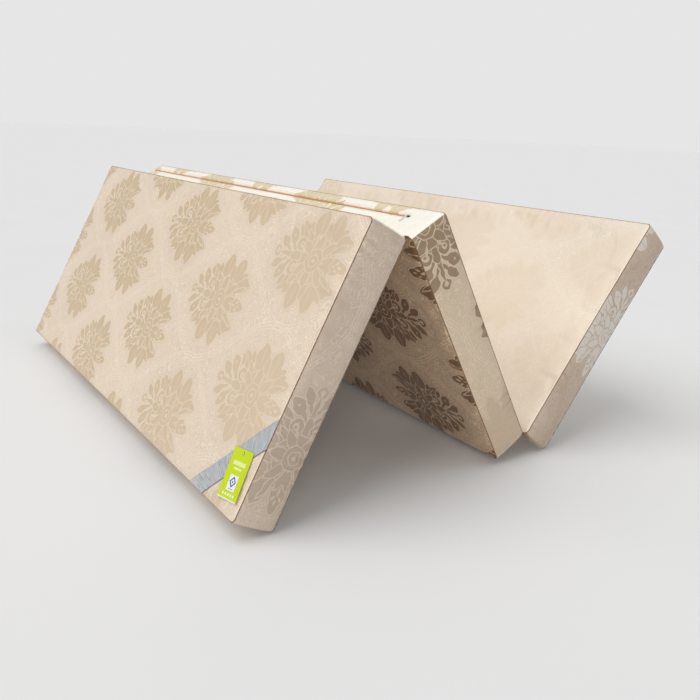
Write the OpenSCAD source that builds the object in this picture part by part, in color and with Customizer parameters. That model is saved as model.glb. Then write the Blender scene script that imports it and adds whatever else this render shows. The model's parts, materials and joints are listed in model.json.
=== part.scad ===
// Tri-fold futon mattress: three equal padded panels joined by two sewn fold seams.
// It stands half folded, like the letter N on its side: the head panel leans back on its
// free end, the middle panel hangs between the two folds, and the foot panel leans forward.
// Every panel is a pressed fibre core between two layers of wadding, in a boxed cover that
// is two damask faces, two side bands, one plain end band and one end band with a zip.
//
// Millimetres. +Z is up, +Y runs along the folds, +X runs from the head to the foot panel.
// The origin is on the floor, under the middle of the whole mattress.
//
// A panel's own frame: x = 0 at its zip end, y = 0 in the middle of its width and z = 0 at
// its underside. The head and foot panels are turned half round, so their +y is -Y here.

/* [Mattress] */
// Length of the mattress when it lies flat, over all three panels
mattress_length = 2000; // [1900:10:2100]
// Width of the mattress, along the folds
mattress_width = 1600; // [1000:10:1800]
// Thickness of one panel, from underside to sleeping face
panel_thickness = 105; // [100:1:120]

/* [Standing pose] */
// Lean of the head panel, from upright
head_lean = 27.6; // [26:0.1:28.5]
// Lean of the middle panel, from upright
middle_lean = 29.8; // [28.8:0.1:31]

/* [Cover] */
// Thickness of the cover cloth
cloth = 2; // [1.5:0.1:2]
// Height of the sewn edge binding beside each face
binding_height = 3; // [2:0.5:5]
// Thickness of the wadding under each face
wadding_thickness = 8; // [4:1:12]
// Room between the cover bands and the core
core_room = 1; // [0.9:0.1:1.5]

/* [Folds] */
// Distance from a fold's axis to the end of the panel, along the panel
fold_end_gap = 2.5; // [2.3:0.1:4]
// Distance from a fold's axis to the face of the panel
fold_face_gap = 2; // [1.9:0.1:3]
// Radius of the sewn fold bead
fold_bead_r = 1.8; // [1.2:0.1:1.8]
// Width of the reinforcing tape sewn inside each side of a fold
fold_tape_width = 30; // [20:1:32]

/* [Zip] */
// Height of the zip above the panel's underside
zip_height = 68; // [65:1:72]
// Distance from the closed end of the zip to the side of the panel
zip_closed_margin = 80; // [40:1:120]
// Distance from the open end of the zip to the side of the panel
zip_open_margin = 10; // [6:1:60]
// Width of the slot that the zip lies in
zip_slot = 10; // [9.6:0.1:12]
// Length of the pull tab, from its pivot
pull_length = 24; // [16:1:30]

/* [Ribbon and tag] */
// Where the corner ribbon's outer edge meets the side of the head panel, from the corner
ribbon_side_leg = 232; // [180:1:260]
// Where the corner ribbon's outer edge meets the end of the head panel, from the corner
ribbon_end_leg = 212; // [180:1:260]
// Width of the corner ribbon
ribbon_width = 46; // [44:1:60]
// Width of the swing tag
tag_width = 71; // [60:1:80]
// Length of the swing tag
tag_length = 105; // [90:1:115]
// Distance from the tag's pin to the free end of the head panel
tag_pin_from_end = 128; // [120:1:130]
// Distance from the tag's pin to the side of the head panel
tag_pin_from_side = 63; // [60:1:66]
// Angle at which the tag hangs, from the slope of the panel
tag_angle = 9; // [0:1:12]

/* [Hidden] */
$fn = 48;
PANELS = ["head", "middle", "foot"];
PANEL_PARTS = [
    "core", "top_wadding", "bottom_wadding", "top_cover", "bottom_cover",
    "near_side_band", "far_side_band", "plain_end_band", "zip_band_upper", "zip_band_lower",
    "top_binding", "bottom_binding", "zip_tapes", "zip_chain", "zip_slider", "zip_pull"
];

// A panel's box, and the part of its sides that the bands cover
panel_length = (mattress_length - 4 * fold_end_gap) / 3;
half_width = mattress_width / 2;
band_low = cloth + binding_height;
band_high = panel_thickness - cloth - binding_height;
core_inset = cloth + core_room;

// The folds' axes and the foot panel's lean. The head and foot panels each rest on one edge.
end_reach = panel_length + fold_end_gap;
face_reach = panel_thickness + fold_face_gap;
fold_a_z = end_reach * cos(head_lean) - fold_face_gap * sin(head_lean);
fold_step = panel_length + 2 * fold_end_gap;
fold_rise = panel_thickness + 2 * fold_face_gap;
fold_b_from_a = fold_step * sin(middle_lean) + fold_rise * cos(middle_lean);
fold_b_z = fold_a_z - fold_step * cos(middle_lean) + fold_rise * sin(middle_lean);
rest_reach = sqrt(pow(fold_end_gap, 2) + pow(face_reach, 2));
foot_lean = asin(fold_b_z / rest_reach) + atan2(fold_end_gap, face_reach);
head_end = -end_reach * sin(head_lean) - face_reach * cos(head_lean);
foot_end = fold_b_from_a + end_reach * sin(foot_lean) + face_reach * cos(foot_lean);
fold_a_x = -(head_end + foot_end) / 2;
fold_b_x = fold_a_x + fold_b_from_a;

// The fold tapes lie against the inside of the end bands, clear of the wadding
fold_tape_start = cloth + wadding_thickness + 0.5;
fold_tape_thickness = 0.8;
fold_side_room = 10;
fold_web = 1.2;

// The zip's layers, as depths below the surface of the end band
zip_hem = 12;
zip_tape_width = 16;
zip_tape_thickness = 0.8;
chain_half_width = 2.5;
chain_slit = 1;
chain_depth = [3.4, 5.4];
stop_length = 3;
slider_length = 13;
slider_width = 8.6;
slider_play = 1;
slider_top = [2.6, 3.2];
slider_bottom = [5.6, 6.2];
slider_flange = 0.6;
slider_flange_width = 1.1;
slider_post = 0.6;
pocket_depth = 7.5;
pocket_half = 18;
bar_height = 0.65;
bar_r = 0.6;
cheek_start = 3.6;
cheek_thickness = 0.8;
barrel_r = 1.15;
barrel_bore_r = 0.8;
barrel_length = 6.6;
pull_width = 6;
pull_thickness = 0.9;
zip_closed_y = -half_width + zip_closed_margin;
zip_open_y = half_width - zip_open_margin;
slider_y = zip_closed_y + stop_length + slider_play + slider_length / 2;

// The ribbon and the tag lie on the head panel's sleeping face
ribbon_thickness = 0.6;
ribbon_corner = ribbon_side_leg * ribbon_end_leg
    / sqrt(pow(ribbon_side_leg, 2) + pow(ribbon_end_leg, 2));
ribbon_inner = 1 - ribbon_width / ribbon_corner;
tag_lift = 1;
tag_thickness = 0.5;
tag_corner_r = 3;
tag_hole_r = 1.4;
tag_hole_margin = 8.5;
sticker_size = [32, 30];
sticker_start = 46;
sticker_thickness = 0.2;
pin_r = 0.9;
pin_head_r = 2.4;
pin_head = [1.9, 2.5];

cover_colour = [0.87, 0.80, 0.71];
band_colour = [0.76, 0.68, 0.58];
binding_colour = [0.38, 0.27, 0.19];
metal_colour = [0.78, 0.78, 0.80];
tape_colour = [0.74, 0.52, 0.34];

// A box between two corners
module block(low, high) {
    translate(low)
        cube(high - low);
}

// Places a panel's own frame where the panel stands
module on_panel(panel) {
    if (panel == "head")
        translate([fold_a_x, 0, fold_a_z])
            rotate([0, head_lean - 90, 0])
                rotate([0, 0, 180])
                    translate([fold_end_gap, 0, fold_face_gap])
                        children();
    if (panel == "middle")
        translate([fold_a_x, 0, fold_a_z])
            rotate([0, 90 - middle_lean, 0])
                translate([fold_end_gap, 0, fold_face_gap])
                    children();
    if (panel == "foot")
        translate([fold_b_x, 0, fold_b_z])
            rotate([0, foot_lean - 90, 0])
                rotate([0, 0, 180])
                    translate([-end_reach, 0, -face_reach])
                        children();
}

// Puts the panel's edge at fold A in place: the zip end, at the underside
module at_fold_a() {
    children();
}

// Puts the panel's edge at fold B in place: the plain end, at the sleeping face
module at_fold_b() {
    translate([panel_length, 0, panel_thickness])
        rotate([0, 180, 0])
            children();
}

// The side of the panel's own frame that faces -Y here
function near_side(panel) = panel == "middle" ? -1 : 1;

// Pressed fibre slab, with a shallow pocket behind the zip
module core() {
    color([0.93, 0.91, 0.86])
        difference() {
            block(
                [core_inset, core_inset - half_width, cloth + wadding_thickness],
                [panel_length - core_inset, half_width - core_inset,
                    panel_thickness - cloth - wadding_thickness]
            );
            block(
                [core_inset - 1, zip_closed_y - 2, zip_height - pocket_half],
                [pocket_depth, zip_open_y + 2, zip_height + pocket_half]
            );
        }
}

// Soft wadding layer, from the given height up
module wadding(height) {
    inset = cloth + 0.5;
    color([0.97, 0.97, 0.95])
        block(
            [inset, inset - half_width, height],
            [panel_length - inset, half_width - inset, height + wadding_thickness]
        );
}

// Damask face over the whole panel, from the given height up
module face_cover(height) {
    color(cover_colour)
        block(
            [0, -half_width, height],
            [panel_length, half_width, height + cloth]
        );
}

// Band down one long side; side is -1 or 1 in the panel's own frame
module side_band(side) {
    middle = side * (half_width - cloth / 2);
    color(band_colour)
        block(
            [0, middle - cloth / 2, band_low],
            [panel_length, middle + cloth / 2, band_high]
        );
}

// Band across the end without a zip
module plain_end_band() {
    color(band_colour)
        block(
            [panel_length - cloth, cloth - half_width, band_low],
            [panel_length, half_width - cloth, band_high]
        );
}

// Half of the zipped end band, above the zip line, with its edge turned in along the zip
module zip_band(rise) {
    color(cover_colour) {
        difference() {
            block([0, cloth - half_width, 0], [cloth, half_width - cloth, rise]);
            block([-1, zip_closed_y, -1], [cloth + 1, zip_open_y, zip_slot / 2]);
        }
        block(
            [cloth, zip_closed_y, zip_slot / 2],
            [2 * cloth, zip_open_y, zip_slot / 2 + zip_hem]
        );
    }
}

module zip_band_upper() {
    translate([0, 0, zip_height])
        zip_band(band_high - zip_height);
}

module zip_band_lower() {
    translate([0, 0, zip_height])
        mirror([0, 0, 1])
            zip_band(zip_height - band_low);
}

// Sewn binding around the panel beside one face, from the given height up
module edge_binding(height) {
    color(binding_colour)
        difference() {
            block(
                [0, -half_width, height],
                [panel_length, half_width, height + binding_height]
            );
            block(
                [cloth, cloth - half_width, height - 1],
                [panel_length - cloth, half_width - cloth, height + binding_height + 1]
            );
        }
}

// Two woven tapes, one sewn under each half of the zipped band
module zip_tapes() {
    color(tape_colour)
        translate([0, 0, zip_height])
            for (side = [0, 1])
                mirror([0, 0, side])
                    block(
                        [2 * cloth, zip_closed_y, chain_half_width],
                        [2 * cloth + zip_tape_thickness, zip_open_y, zip_tape_width]
                    );
}

// Two rows of closed coil, joined by a stop at each end
module zip_chain() {
    color(binding_colour)
        translate([0, 0, zip_height]) {
            for (side = [0, 1])
                mirror([0, 0, side])
                    block(
                        [chain_depth[0], zip_closed_y, chain_slit / 2],
                        [chain_depth[1], zip_open_y, chain_half_width]
                    );
            for (y = [zip_closed_y, zip_open_y - stop_length])
                block(
                    [chain_depth[0], y, -chain_half_width],
                    [chain_depth[1], y + stop_length, chain_half_width]
                );
        }
}

// One plate of the slider, a round-ended shape between two depths
module slider_plate(depth) {
    end_y = (slider_length - slider_width) / 2;
    block([depth[0], -end_y, -slider_width / 2], [depth[1], end_y, slider_width / 2]);
    for (y = [-end_y, end_y])
        translate([depth[0], y, 0])
            rotate([0, 90, 0])
                cylinder(d = slider_width, h = depth[1] - depth[0]);
}

// Zip slider: two plates round the coil, a post between its rows and a bar for the pull
module zip_slider() {
    end_y = (slider_length - slider_width) / 2;
    flange_z = slider_width / 2 - slider_flange_width;
    color(metal_colour)
        translate([0, slider_y, zip_height]) {
            slider_plate(slider_top);
            slider_plate(slider_bottom);
            for (side = [0, 1])
                mirror([0, 0, side]) {
                    block(
                        [slider_top[1], -end_y, flange_z],
                        [slider_top[1] + slider_flange, end_y, slider_width / 2]
                    );
                    block(
                        [slider_bottom[0] - slider_flange, -end_y, flange_z],
                        [slider_bottom[0], end_y, slider_width / 2]
                    );
                }
            block(
                [slider_top[1], -end_y, -slider_post / 2],
                [slider_bottom[0], end_y, slider_post / 2]
            );
            for (side = [0, 1])
                mirror([0, side, 0])
                    block(
                        [-bar_height - 2 * bar_r / 2, cheek_start, -1],
                        [slider_top[0], cheek_start + cheek_thickness, 1]
                    );
            translate([-bar_height, -cheek_start, 0])
                rotate([-90, 0, 0])
                    cylinder(r = bar_r, h = 2 * cheek_start);
        }
}

// Pull tab with a barrel on the slider's bar; it hangs down over the lower half of the band
module zip_pull() {
    round_z = pull_width / 2 - pull_length;
    color(metal_colour)
        translate([-bar_height, slider_y, zip_height])
            difference() {
                union() {
                    rotate([-90, 0, 0])
                        translate([0, 0, -barrel_length / 2])
                            cylinder(r = barrel_r, h = barrel_length);
                    block(
                        [-pull_thickness / 2, -pull_width / 2, round_z],
                        [pull_thickness / 2, pull_width / 2, 0]
                    );
                    translate([-pull_thickness / 2, 0, round_z])
                        rotate([0, 90, 0])
                            cylinder(d = pull_width, h = pull_thickness);
                }
                rotate([-90, 0, 0])
                    translate([0, 0, -barrel_length])
                        cylinder(r = barrel_bore_r, h = 2 * barrel_length);
            }
}

// Sewn bead along a fold's axis, and the web that joins it to the middle panel's end band
module fold_seam() {
    length = mattress_width - fold_side_room;
    color(cover_colour) {
        translate([-fold_end_gap, -length / 2, -fold_face_gap])
            rotate([-90, 0, 0])
                cylinder(r = fold_bead_r, h = length);
        block(
            [-fold_end_gap, -length / 2, fold_web - fold_face_gap],
            [0, length / 2, fold_web]
        );
    }
}

// Reinforcing tape inside the panel, sewn behind the band beside the fold
module fold_tape() {
    half_length = half_width - fold_side_room;
    color([0.85, 0.80, 0.72])
        block(
            [cloth, -half_length, fold_tape_start],
            [cloth + fold_tape_thickness, half_length, fold_tape_start + fold_tape_width]
        );
}

// Satin ribbon laid across one corner of the head panel, caught in the seams at both ends
module corner_ribbon() {
    color([0.66, 0.68, 0.74])
        translate([panel_length, half_width, panel_thickness])
            linear_extrude(ribbon_thickness)
                polygon([
                    [-ribbon_side_leg, 0],
                    [-ribbon_side_leg * ribbon_inner, 0],
                    [0, -ribbon_end_leg * ribbon_inner],
                    [0, -ribbon_end_leg]
                ]);
}

// Puts the tag's own frame in place: the origin is at its pin and +x runs down the tag
module at_tag_pin() {
    translate([panel_length - tag_pin_from_end, half_width - tag_pin_from_side, panel_thickness])
        rotate([0, 0, tag_angle])
            children();
}

// Card tag with round corners and one hole for its pin
module swing_tag() {
    low = [-tag_hole_margin, -tag_width / 2];
    high = low + [tag_length, tag_width];
    color([0.80, 0.88, 0.05])
        at_tag_pin()
            translate([0, 0, tag_lift])
                linear_extrude(tag_thickness)
                    difference() {
                        union() {
                            translate([low[0] + tag_corner_r, low[1]])
                                square([tag_length - 2 * tag_corner_r, tag_width]);
                            translate([low[0], low[1] + tag_corner_r])
                                square([tag_length, tag_width - 2 * tag_corner_r]);
                            for (x = [low[0] + tag_corner_r, high[0] - tag_corner_r])
                                for (y = [low[1] + tag_corner_r, high[1] - tag_corner_r])
                                    translate([x, y])
                                        circle(tag_corner_r);
                        }
                        circle(tag_hole_r);
                    }
}

// White sticker on the middle of the tag
module tag_sticker() {
    color("white")
        at_tag_pin()
            translate([sticker_start, -sticker_size[1] / 2, tag_lift + tag_thickness])
                cube([sticker_size[0], sticker_size[1], sticker_thickness]);
}

// Plastic pin that holds the tag, standing on the ribbon
module tag_pin() {
    color([0.85, 0.85, 0.9])
        at_tag_pin() {
            translate([0, 0, ribbon_thickness])
                cylinder(r = pin_r, h = pin_head[0] - ribbon_thickness);
            translate([0, 0, pin_head[0]])
                cylinder(r = pin_head_r, h = pin_head[1] - pin_head[0]);
        }
}

for (panel = PANELS) {
    on_panel(panel) core();
    on_panel(panel) wadding(panel_thickness - cloth - wadding_thickness);
    on_panel(panel) wadding(cloth);
    on_panel(panel) face_cover(panel_thickness - cloth);
    on_panel(panel) face_cover(0);
    on_panel(panel) side_band(near_side(panel));
    on_panel(panel) side_band(-near_side(panel));
    on_panel(panel) plain_end_band();
    on_panel(panel) zip_band_upper();
    on_panel(panel) zip_band_lower();
    on_panel(panel) edge_binding(band_high);
    on_panel(panel) edge_binding(cloth);
    on_panel(panel) zip_tapes();
    on_panel(panel) zip_chain();
    on_panel(panel) zip_slider();
    on_panel(panel) zip_pull();
}
on_panel("middle") at_fold_a() fold_seam();  // fold_a_seam
on_panel("head") at_fold_a() fold_tape();  // fold_a_head_tape
on_panel("middle") at_fold_a() fold_tape();  // fold_a_middle_tape
on_panel("middle") at_fold_b() fold_seam();  // fold_b_seam
on_panel("middle") at_fold_b() fold_tape();  // fold_b_middle_tape
on_panel("foot") at_fold_b() fold_tape();  // fold_b_foot_tape
on_panel("head") corner_ribbon();
on_panel("head") swing_tag();
on_panel("head") tag_sticker();
on_panel("head") tag_pin();
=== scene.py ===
"""Looks of the tri-fold futon mattress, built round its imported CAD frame. Metres, in the CAD's frame.

A panel's own frame: x runs from its zip end, y across its width and z up from its underside.
Each panel is one closed, crowned pad of damask with sewn edges. Its zip, core and wadding are other pieces.
"""
import json
import math

import bmesh
import bpy
import numpy as np
from mathutils import Matrix, Vector
from mathutils.bvhtree import BVHTree


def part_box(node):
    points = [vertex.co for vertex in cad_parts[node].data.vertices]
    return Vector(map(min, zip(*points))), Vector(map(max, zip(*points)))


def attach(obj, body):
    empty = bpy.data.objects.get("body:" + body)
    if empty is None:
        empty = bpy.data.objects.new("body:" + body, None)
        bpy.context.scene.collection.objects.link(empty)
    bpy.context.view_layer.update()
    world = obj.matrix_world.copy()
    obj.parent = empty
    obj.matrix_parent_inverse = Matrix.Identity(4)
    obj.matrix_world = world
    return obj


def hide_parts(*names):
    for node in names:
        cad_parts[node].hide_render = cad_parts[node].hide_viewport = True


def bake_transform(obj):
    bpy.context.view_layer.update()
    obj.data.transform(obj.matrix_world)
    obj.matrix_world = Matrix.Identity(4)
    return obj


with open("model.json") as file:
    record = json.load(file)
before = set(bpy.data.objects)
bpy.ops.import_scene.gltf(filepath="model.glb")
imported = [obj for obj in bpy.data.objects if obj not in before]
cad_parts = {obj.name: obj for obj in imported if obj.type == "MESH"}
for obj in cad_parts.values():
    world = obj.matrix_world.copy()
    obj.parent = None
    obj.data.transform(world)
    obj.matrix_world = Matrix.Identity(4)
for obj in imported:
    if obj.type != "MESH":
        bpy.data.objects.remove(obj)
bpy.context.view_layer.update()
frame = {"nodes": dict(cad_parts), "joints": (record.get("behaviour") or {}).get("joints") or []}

JOINTS = {j["name"]: j for j in frame["joints"]}
PANELS = ("head", "middle", "foot")
MM = 0.001
TINY = 1e-9
TURN = 2 * math.pi
UP = (0, 0, 1)

# ---------------------------------------------------------------- frames


def centre(node):
    low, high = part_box(node)
    return (low + high) / 2


class Panel:
    """A panel's own frame and size, from its CAD nodes."""

    def __init__(self, name):
        self.name, self.body = name, f"{name}_panel"
        under, face = centre(f"{name}_bottom_cover"), centre(f"{name}_top_cover")
        z = (face - under).normalized()
        y = Vector(JOINTS[f"{name}_zip_slide"]["axis"])
        self.axes = Matrix((y.cross(z), y, z)).transposed()
        self.matrix = Matrix.Translation((under + face) / 2) @ self.axes.to_4x4()
        low, high = self.span(f"{name}_top_cover")
        self.length = round(float(high[0] - low[0]), 6)
        self.half = round(float(high[1] - low[1]) / 2, 6)
        self.thick = round(float(high[2] - self.span(f"{name}_bottom_cover")[0][2]), 6)
        self.matrix = self.matrix @ Matrix.Translation((-self.length / 2, 0, -self.thick / 2))

    def own(self, points):
        """Points of the CAD's frame in the panel's own."""
        back = np.array(self.matrix.inverted())
        return np.asarray(points, float) @ back[:3, :3].T + back[:3, 3]

    def points(self, node):
        """A CAD node's vertices in the panel's own frame."""
        flat = np.zeros(len(frame["nodes"][node].data.vertices) * 3)
        frame["nodes"][node].data.vertices.foreach_get("co", flat)
        return self.own(flat.reshape(-1, 3))

    def span(self, node):
        found = self.points(node)
        return found.min(0), found.max(0)

    def middle(self, node):
        low, high = self.span(node)
        return (low + high) / 2

    def world(self, points):
        m = np.array(self.matrix)
        return np.asarray(points, float) @ m[:3, :3].T + m[:3, 3]


panels = {name: Panel(name) for name in PANELS}

# ---------------------------------------------------------------- mesh helpers


def smoothstep(t):
    t = np.clip(t, 0, 1)
    return t * t * (3 - 2 * t)


def waves(points, lengths, seed, count=10):
    """Smooth repeatable noise of about -1 to 1, a sum of waves with lengths between the two given."""
    rng = np.random.RandomState(seed)
    points = np.atleast_2d(np.asarray(points, float).T).T
    total = np.zeros(len(points))
    for _ in range(count):
        way = rng.normal(size=points.shape[1])
        way *= TURN / (np.linalg.norm(way) * rng.uniform(*lengths))
        total += np.sin(points @ way + rng.uniform(0, TURN))
    return total / math.sqrt(count / 2) / 1.6


def add_mesh(name, points, faces, matrix=None, smooth=True):
    mesh = bpy.data.meshes.new(name)
    mesh.from_pydata([tuple(p) for p in np.asarray(points, float)], [], [tuple(map(int, f)) for f in faces])
    mesh.validate()
    mesh.polygons.foreach_set("use_smooth", [smooth] * len(mesh.polygons))
    obj = bpy.data.objects.new(name, mesh)
    bpy.context.scene.collection.objects.link(obj)
    if matrix is not None:
        obj.matrix_world = matrix
    return obj


def straighten(obj):
    """Turns a closed mesh's faces outward."""
    work = bmesh.new()
    work.from_mesh(obj.data)
    bmesh.ops.recalc_face_normals(work, faces=work.faces)
    work.to_mesh(obj.data)
    work.free()


def finish_piece(obj, body, material, replaced=()):
    """Gives a piece its material, hides the CAD nodes it replaces and attaches it to its body."""
    if material is not None:
        obj.data.materials.append(material)
    if replaced:
        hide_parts(*replaced)
    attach(obj, body)


def dress_node(node, material, worn):
    """Gives a CAD node a material and rounds its edges by the width worn."""
    obj = frame["nodes"][node]
    obj.data.materials.clear()
    obj.data.materials.append(material)
    bevel = obj.modifiers.new("worn_edges", "BEVEL")
    bevel.width, bevel.segments, bevel.limit_method = worn, 2, "ANGLE"


class Solids:
    """Several closed solids that make up one piece."""

    def __init__(self):
        self.points, self.faces = [], []

    def add(self, points, faces):
        first = len(self.points)
        self.faces += [tuple(int(i) + first for i in f) for f in faces]
        self.points += np.asarray(points).tolist()


def box_grid(xs, ys, zs):
    """Points and outward quads over a box's surface, cut at these lines, and each lattice point's number."""
    n = [len(xs), len(ys), len(zs)]
    i, j, k = np.indices(n)
    on = (i == 0) | (i == n[0] - 1) | (j == 0) | (j == n[1] - 1) | (k == 0) | (k == n[2] - 1)
    number = np.full(n, -1)
    number[on] = np.arange(on.sum())
    points = np.stack([np.asarray(xs)[i[on]], np.asarray(ys)[j[on]], np.asarray(zs)[k[on]]], 1)
    quads = []
    for axis in range(3):
        for end in (0, n[axis] - 1):
            quad = sheet_quads(np.take(number, end, axis))
            quads.append(quad[:, ::-1] if (end == 0) != (axis == 1) else quad)
    return points, np.concatenate(quads), number


def sheet_quads(index):
    """Quads between the points of a rectangular array of numbers."""
    return np.stack([index[:-1, :-1], index[1:, :-1], index[1:, 1:], index[:-1, 1:]], -1).reshape(-1, 4)


def rim(index):
    """The numbers round the edge of a rectangular array, in order."""
    return np.concatenate([index[:, 0], index[-1, 1:], index[-2::-1, -1], index[0, -2:0:-1]])


def lines_between(low, high, step, ends, extra=()):
    """Grid lines that stand close together near both ends and step apart between, with some extra ones."""
    ends = np.asarray(ends)
    count = max(2, round((high - low - 2 * ends[-1]) / step) + 1)
    inner = np.linspace(low + ends[-1], high - ends[-1], count)
    lines = np.concatenate([low + ends[:-1], inner, (high - ends[:-1])[::-1]])
    for x in extra:
        lines = lines[~((np.abs(lines - x) < 0.45 * step) & (lines > low) & (lines < high))]
    return np.unique(np.round(np.concatenate([lines, extra]), 7))


def soft_block(name, low, high, radius, step, matrix, ripple=0.0, seed=0):
    """A closed block with rounded edges and a slightly uneven surface."""
    low, high = np.asarray(low, float), np.asarray(high, float)
    ends = radius * np.array([0, 0.25, 0.55, 1.0])
    points, quads, _ = box_grid(*(lines_between(low[a], high[a], step, ends) for a in range(3)))
    inner = np.clip(points, low + radius, high - radius)
    out = points - inner
    out /= np.linalg.norm(out, axis=1, keepdims=True)
    points = inner + out * radius
    if ripple:
        points += out * (ripple * waves(points, (0.03, 0.12), seed, 14))[:, None]
    return add_mesh(name, points, quads, matrix)


def tube_faces(rings, around, closed):
    """Faces between rings of points, joined into a loop or with both ends capped."""
    index = np.arange(rings * around).reshape(rings, around)
    here, ahead = (index, np.roll(index, -1, 0)) if closed else (index[:-1], index[1:])
    faces = np.stack([here, np.roll(here, -1, 1), np.roll(ahead, -1, 1), ahead], -1).reshape(-1, 4).tolist()
    return faces if closed else faces + [index[0][::-1].tolist(), index[-1].tolist()]


def sweep(path, outward, profile, closed=True, scale=None):
    """A tube along a path. Its profile's corners are (out, across); outward is the way out at each point."""
    path = np.asarray(path, float)
    outward = np.broadcast_to(np.asarray(outward, float), path.shape)
    ahead = np.roll(path, -1, 0) - np.roll(path, 1, 0)
    if not closed:
        ahead[0], ahead[-1] = path[1] - path[0], path[-1] - path[-2]
    ahead /= np.linalg.norm(ahead, axis=1, keepdims=True)
    outward = outward - ahead * (outward * ahead).sum(1, keepdims=True)
    outward /= np.linalg.norm(outward, axis=1, keepdims=True)
    side = np.cross(ahead, outward)
    size = np.ones(len(path)) if scale is None else scale
    points = path[:, None] + size[:, None, None] * (
        outward[:, None] * profile[None, :, :1] + side[:, None] * profile[None, :, 1:])
    return points.reshape(-1, 3), tube_faces(len(path), len(profile), closed)


def oval(out, across, count):
    turn = np.arange(count) * TURN / count
    return np.stack([out * np.cos(turn), across * np.sin(turn)], 1)


def round_corners(dx, dy, radius):
    """Distances to a plan's edges, changed so that its square corners become quarter discs."""
    a, b = np.clip(1 - dx / radius, 0, 1), np.clip(1 - dy / radius, 0, 1)
    corner = (a > 0) & (b > 0)
    return (np.where(corner, radius * (1 - a * np.sqrt(1 - b * b / 2)), dx),
            np.where(corner, radius * (1 - b * np.sqrt(1 - a * a / 2)), dy))


# ---------------------------------------------------------------- pads

# Each fold joins the middle panel to another one, at its sleeping face (True) or its underside (False),
# and at the panels' zip end (0) or plain end (-1)
FOLDS = {"fold_a": ("head", False, 0), "fold_b": ("foot", True, -1)}
EDGE_LINES = MM * np.array([0, 1.8, 4, 7, 10.5, 15, 20.5])
GRID_STEP, GRID_STEP_UP = 6.2 * MM, 5.5 * MM
CORNER_R = 14 * MM        # rounding of the upright corners
SEAM_PULL = 2.6 * MM      # how far the seams are pulled in from the outline
SEAM_PULL_REACH = 7 * MM
SEAM_DROP = 3.2 * MM      # how far the faces fall to their seams
SEAM_DROP_REACH = 8 * MM
RIM_REACH = 9 * MM        # how far from a seam its pull and bulge are felt
CROWN = 1.6 * MM          # how far the middle of a face stands proud
CROWN_FROM = 0.22, 0.26   # and how far from the ends and sides it gets there
BOW = 2.0 * MM            # how far the sides pull in between the corners, and the ends a share of it
BOW_REACH, END_BOW = 60 * MM, 0.7
SIDE_BULGE, END_BULGE, BULGE_POWER = 1.8 * MM, 0.9 * MM, 0.7
UNEVEN = 0.55 * MM        # long soft waves in the faces
UNEVEN_WAVES, UNEVEN_FROM = (0.13, 0.34), 0.07
RIDGE = 0.8 * MM          # the lip that stands beside the side seams
RIDGE_AT, RIDGE_WIDTH, RIDGE_FADE = 6.5 * MM, 2.6 * MM, 20 * MM
PUCKER = 0.8 * MM         # height of the short folds at the seams
PUCKER_ENDS, PUCKER_SIDES = 1.6, 2.8    # and how many times that on the end and side bands
FACE_PUCKER_REACH, BAND_PUCKER_REACH, PUCKER_CORNER = 11 * MM, 13 * MM, 0.03
ZIP_BESIDE = 9 * MM       # half the width of the strip beside the zip that stays plain
ZIP_BESIDE_FADE = 8 * MM
SLOT_ACROSS = 0, 4.41, 4.71, 5.4, 6.8, 9.8         # mm from the zip's middle, and the slot's height there
SLOT_HEIGHT = -7.2, -7.2, -1.3, -0.1, 0.45, 0
SLOT_OPENS = 1.2 * MM, 0.9 * MM     # before and past the coil's first end
SLOT_SHUTS = 0.4 * MM, 1.6 * MM     # before and past its last end
CREASE, CREASE_WIDTH, CREASE_FADE = 1.1 * MM, 1.2, 6 * MM
HALF_SHUT = math.tan(math.radians(1))   # a fold shuts to 2 degrees, 1 for each of its faces
CONTACT_GAP = 0.2 * MM    # left between the pad and what presses on it
PRESS_SOFT = 0.2 * MM     # how gently the pressed faces flatten
PULL_ROOM = 3 * MM        # how far below the pull's tip the cloth stays pushed back
PULL_SLOPE = 0.15         # and how steeply it comes out again


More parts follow.
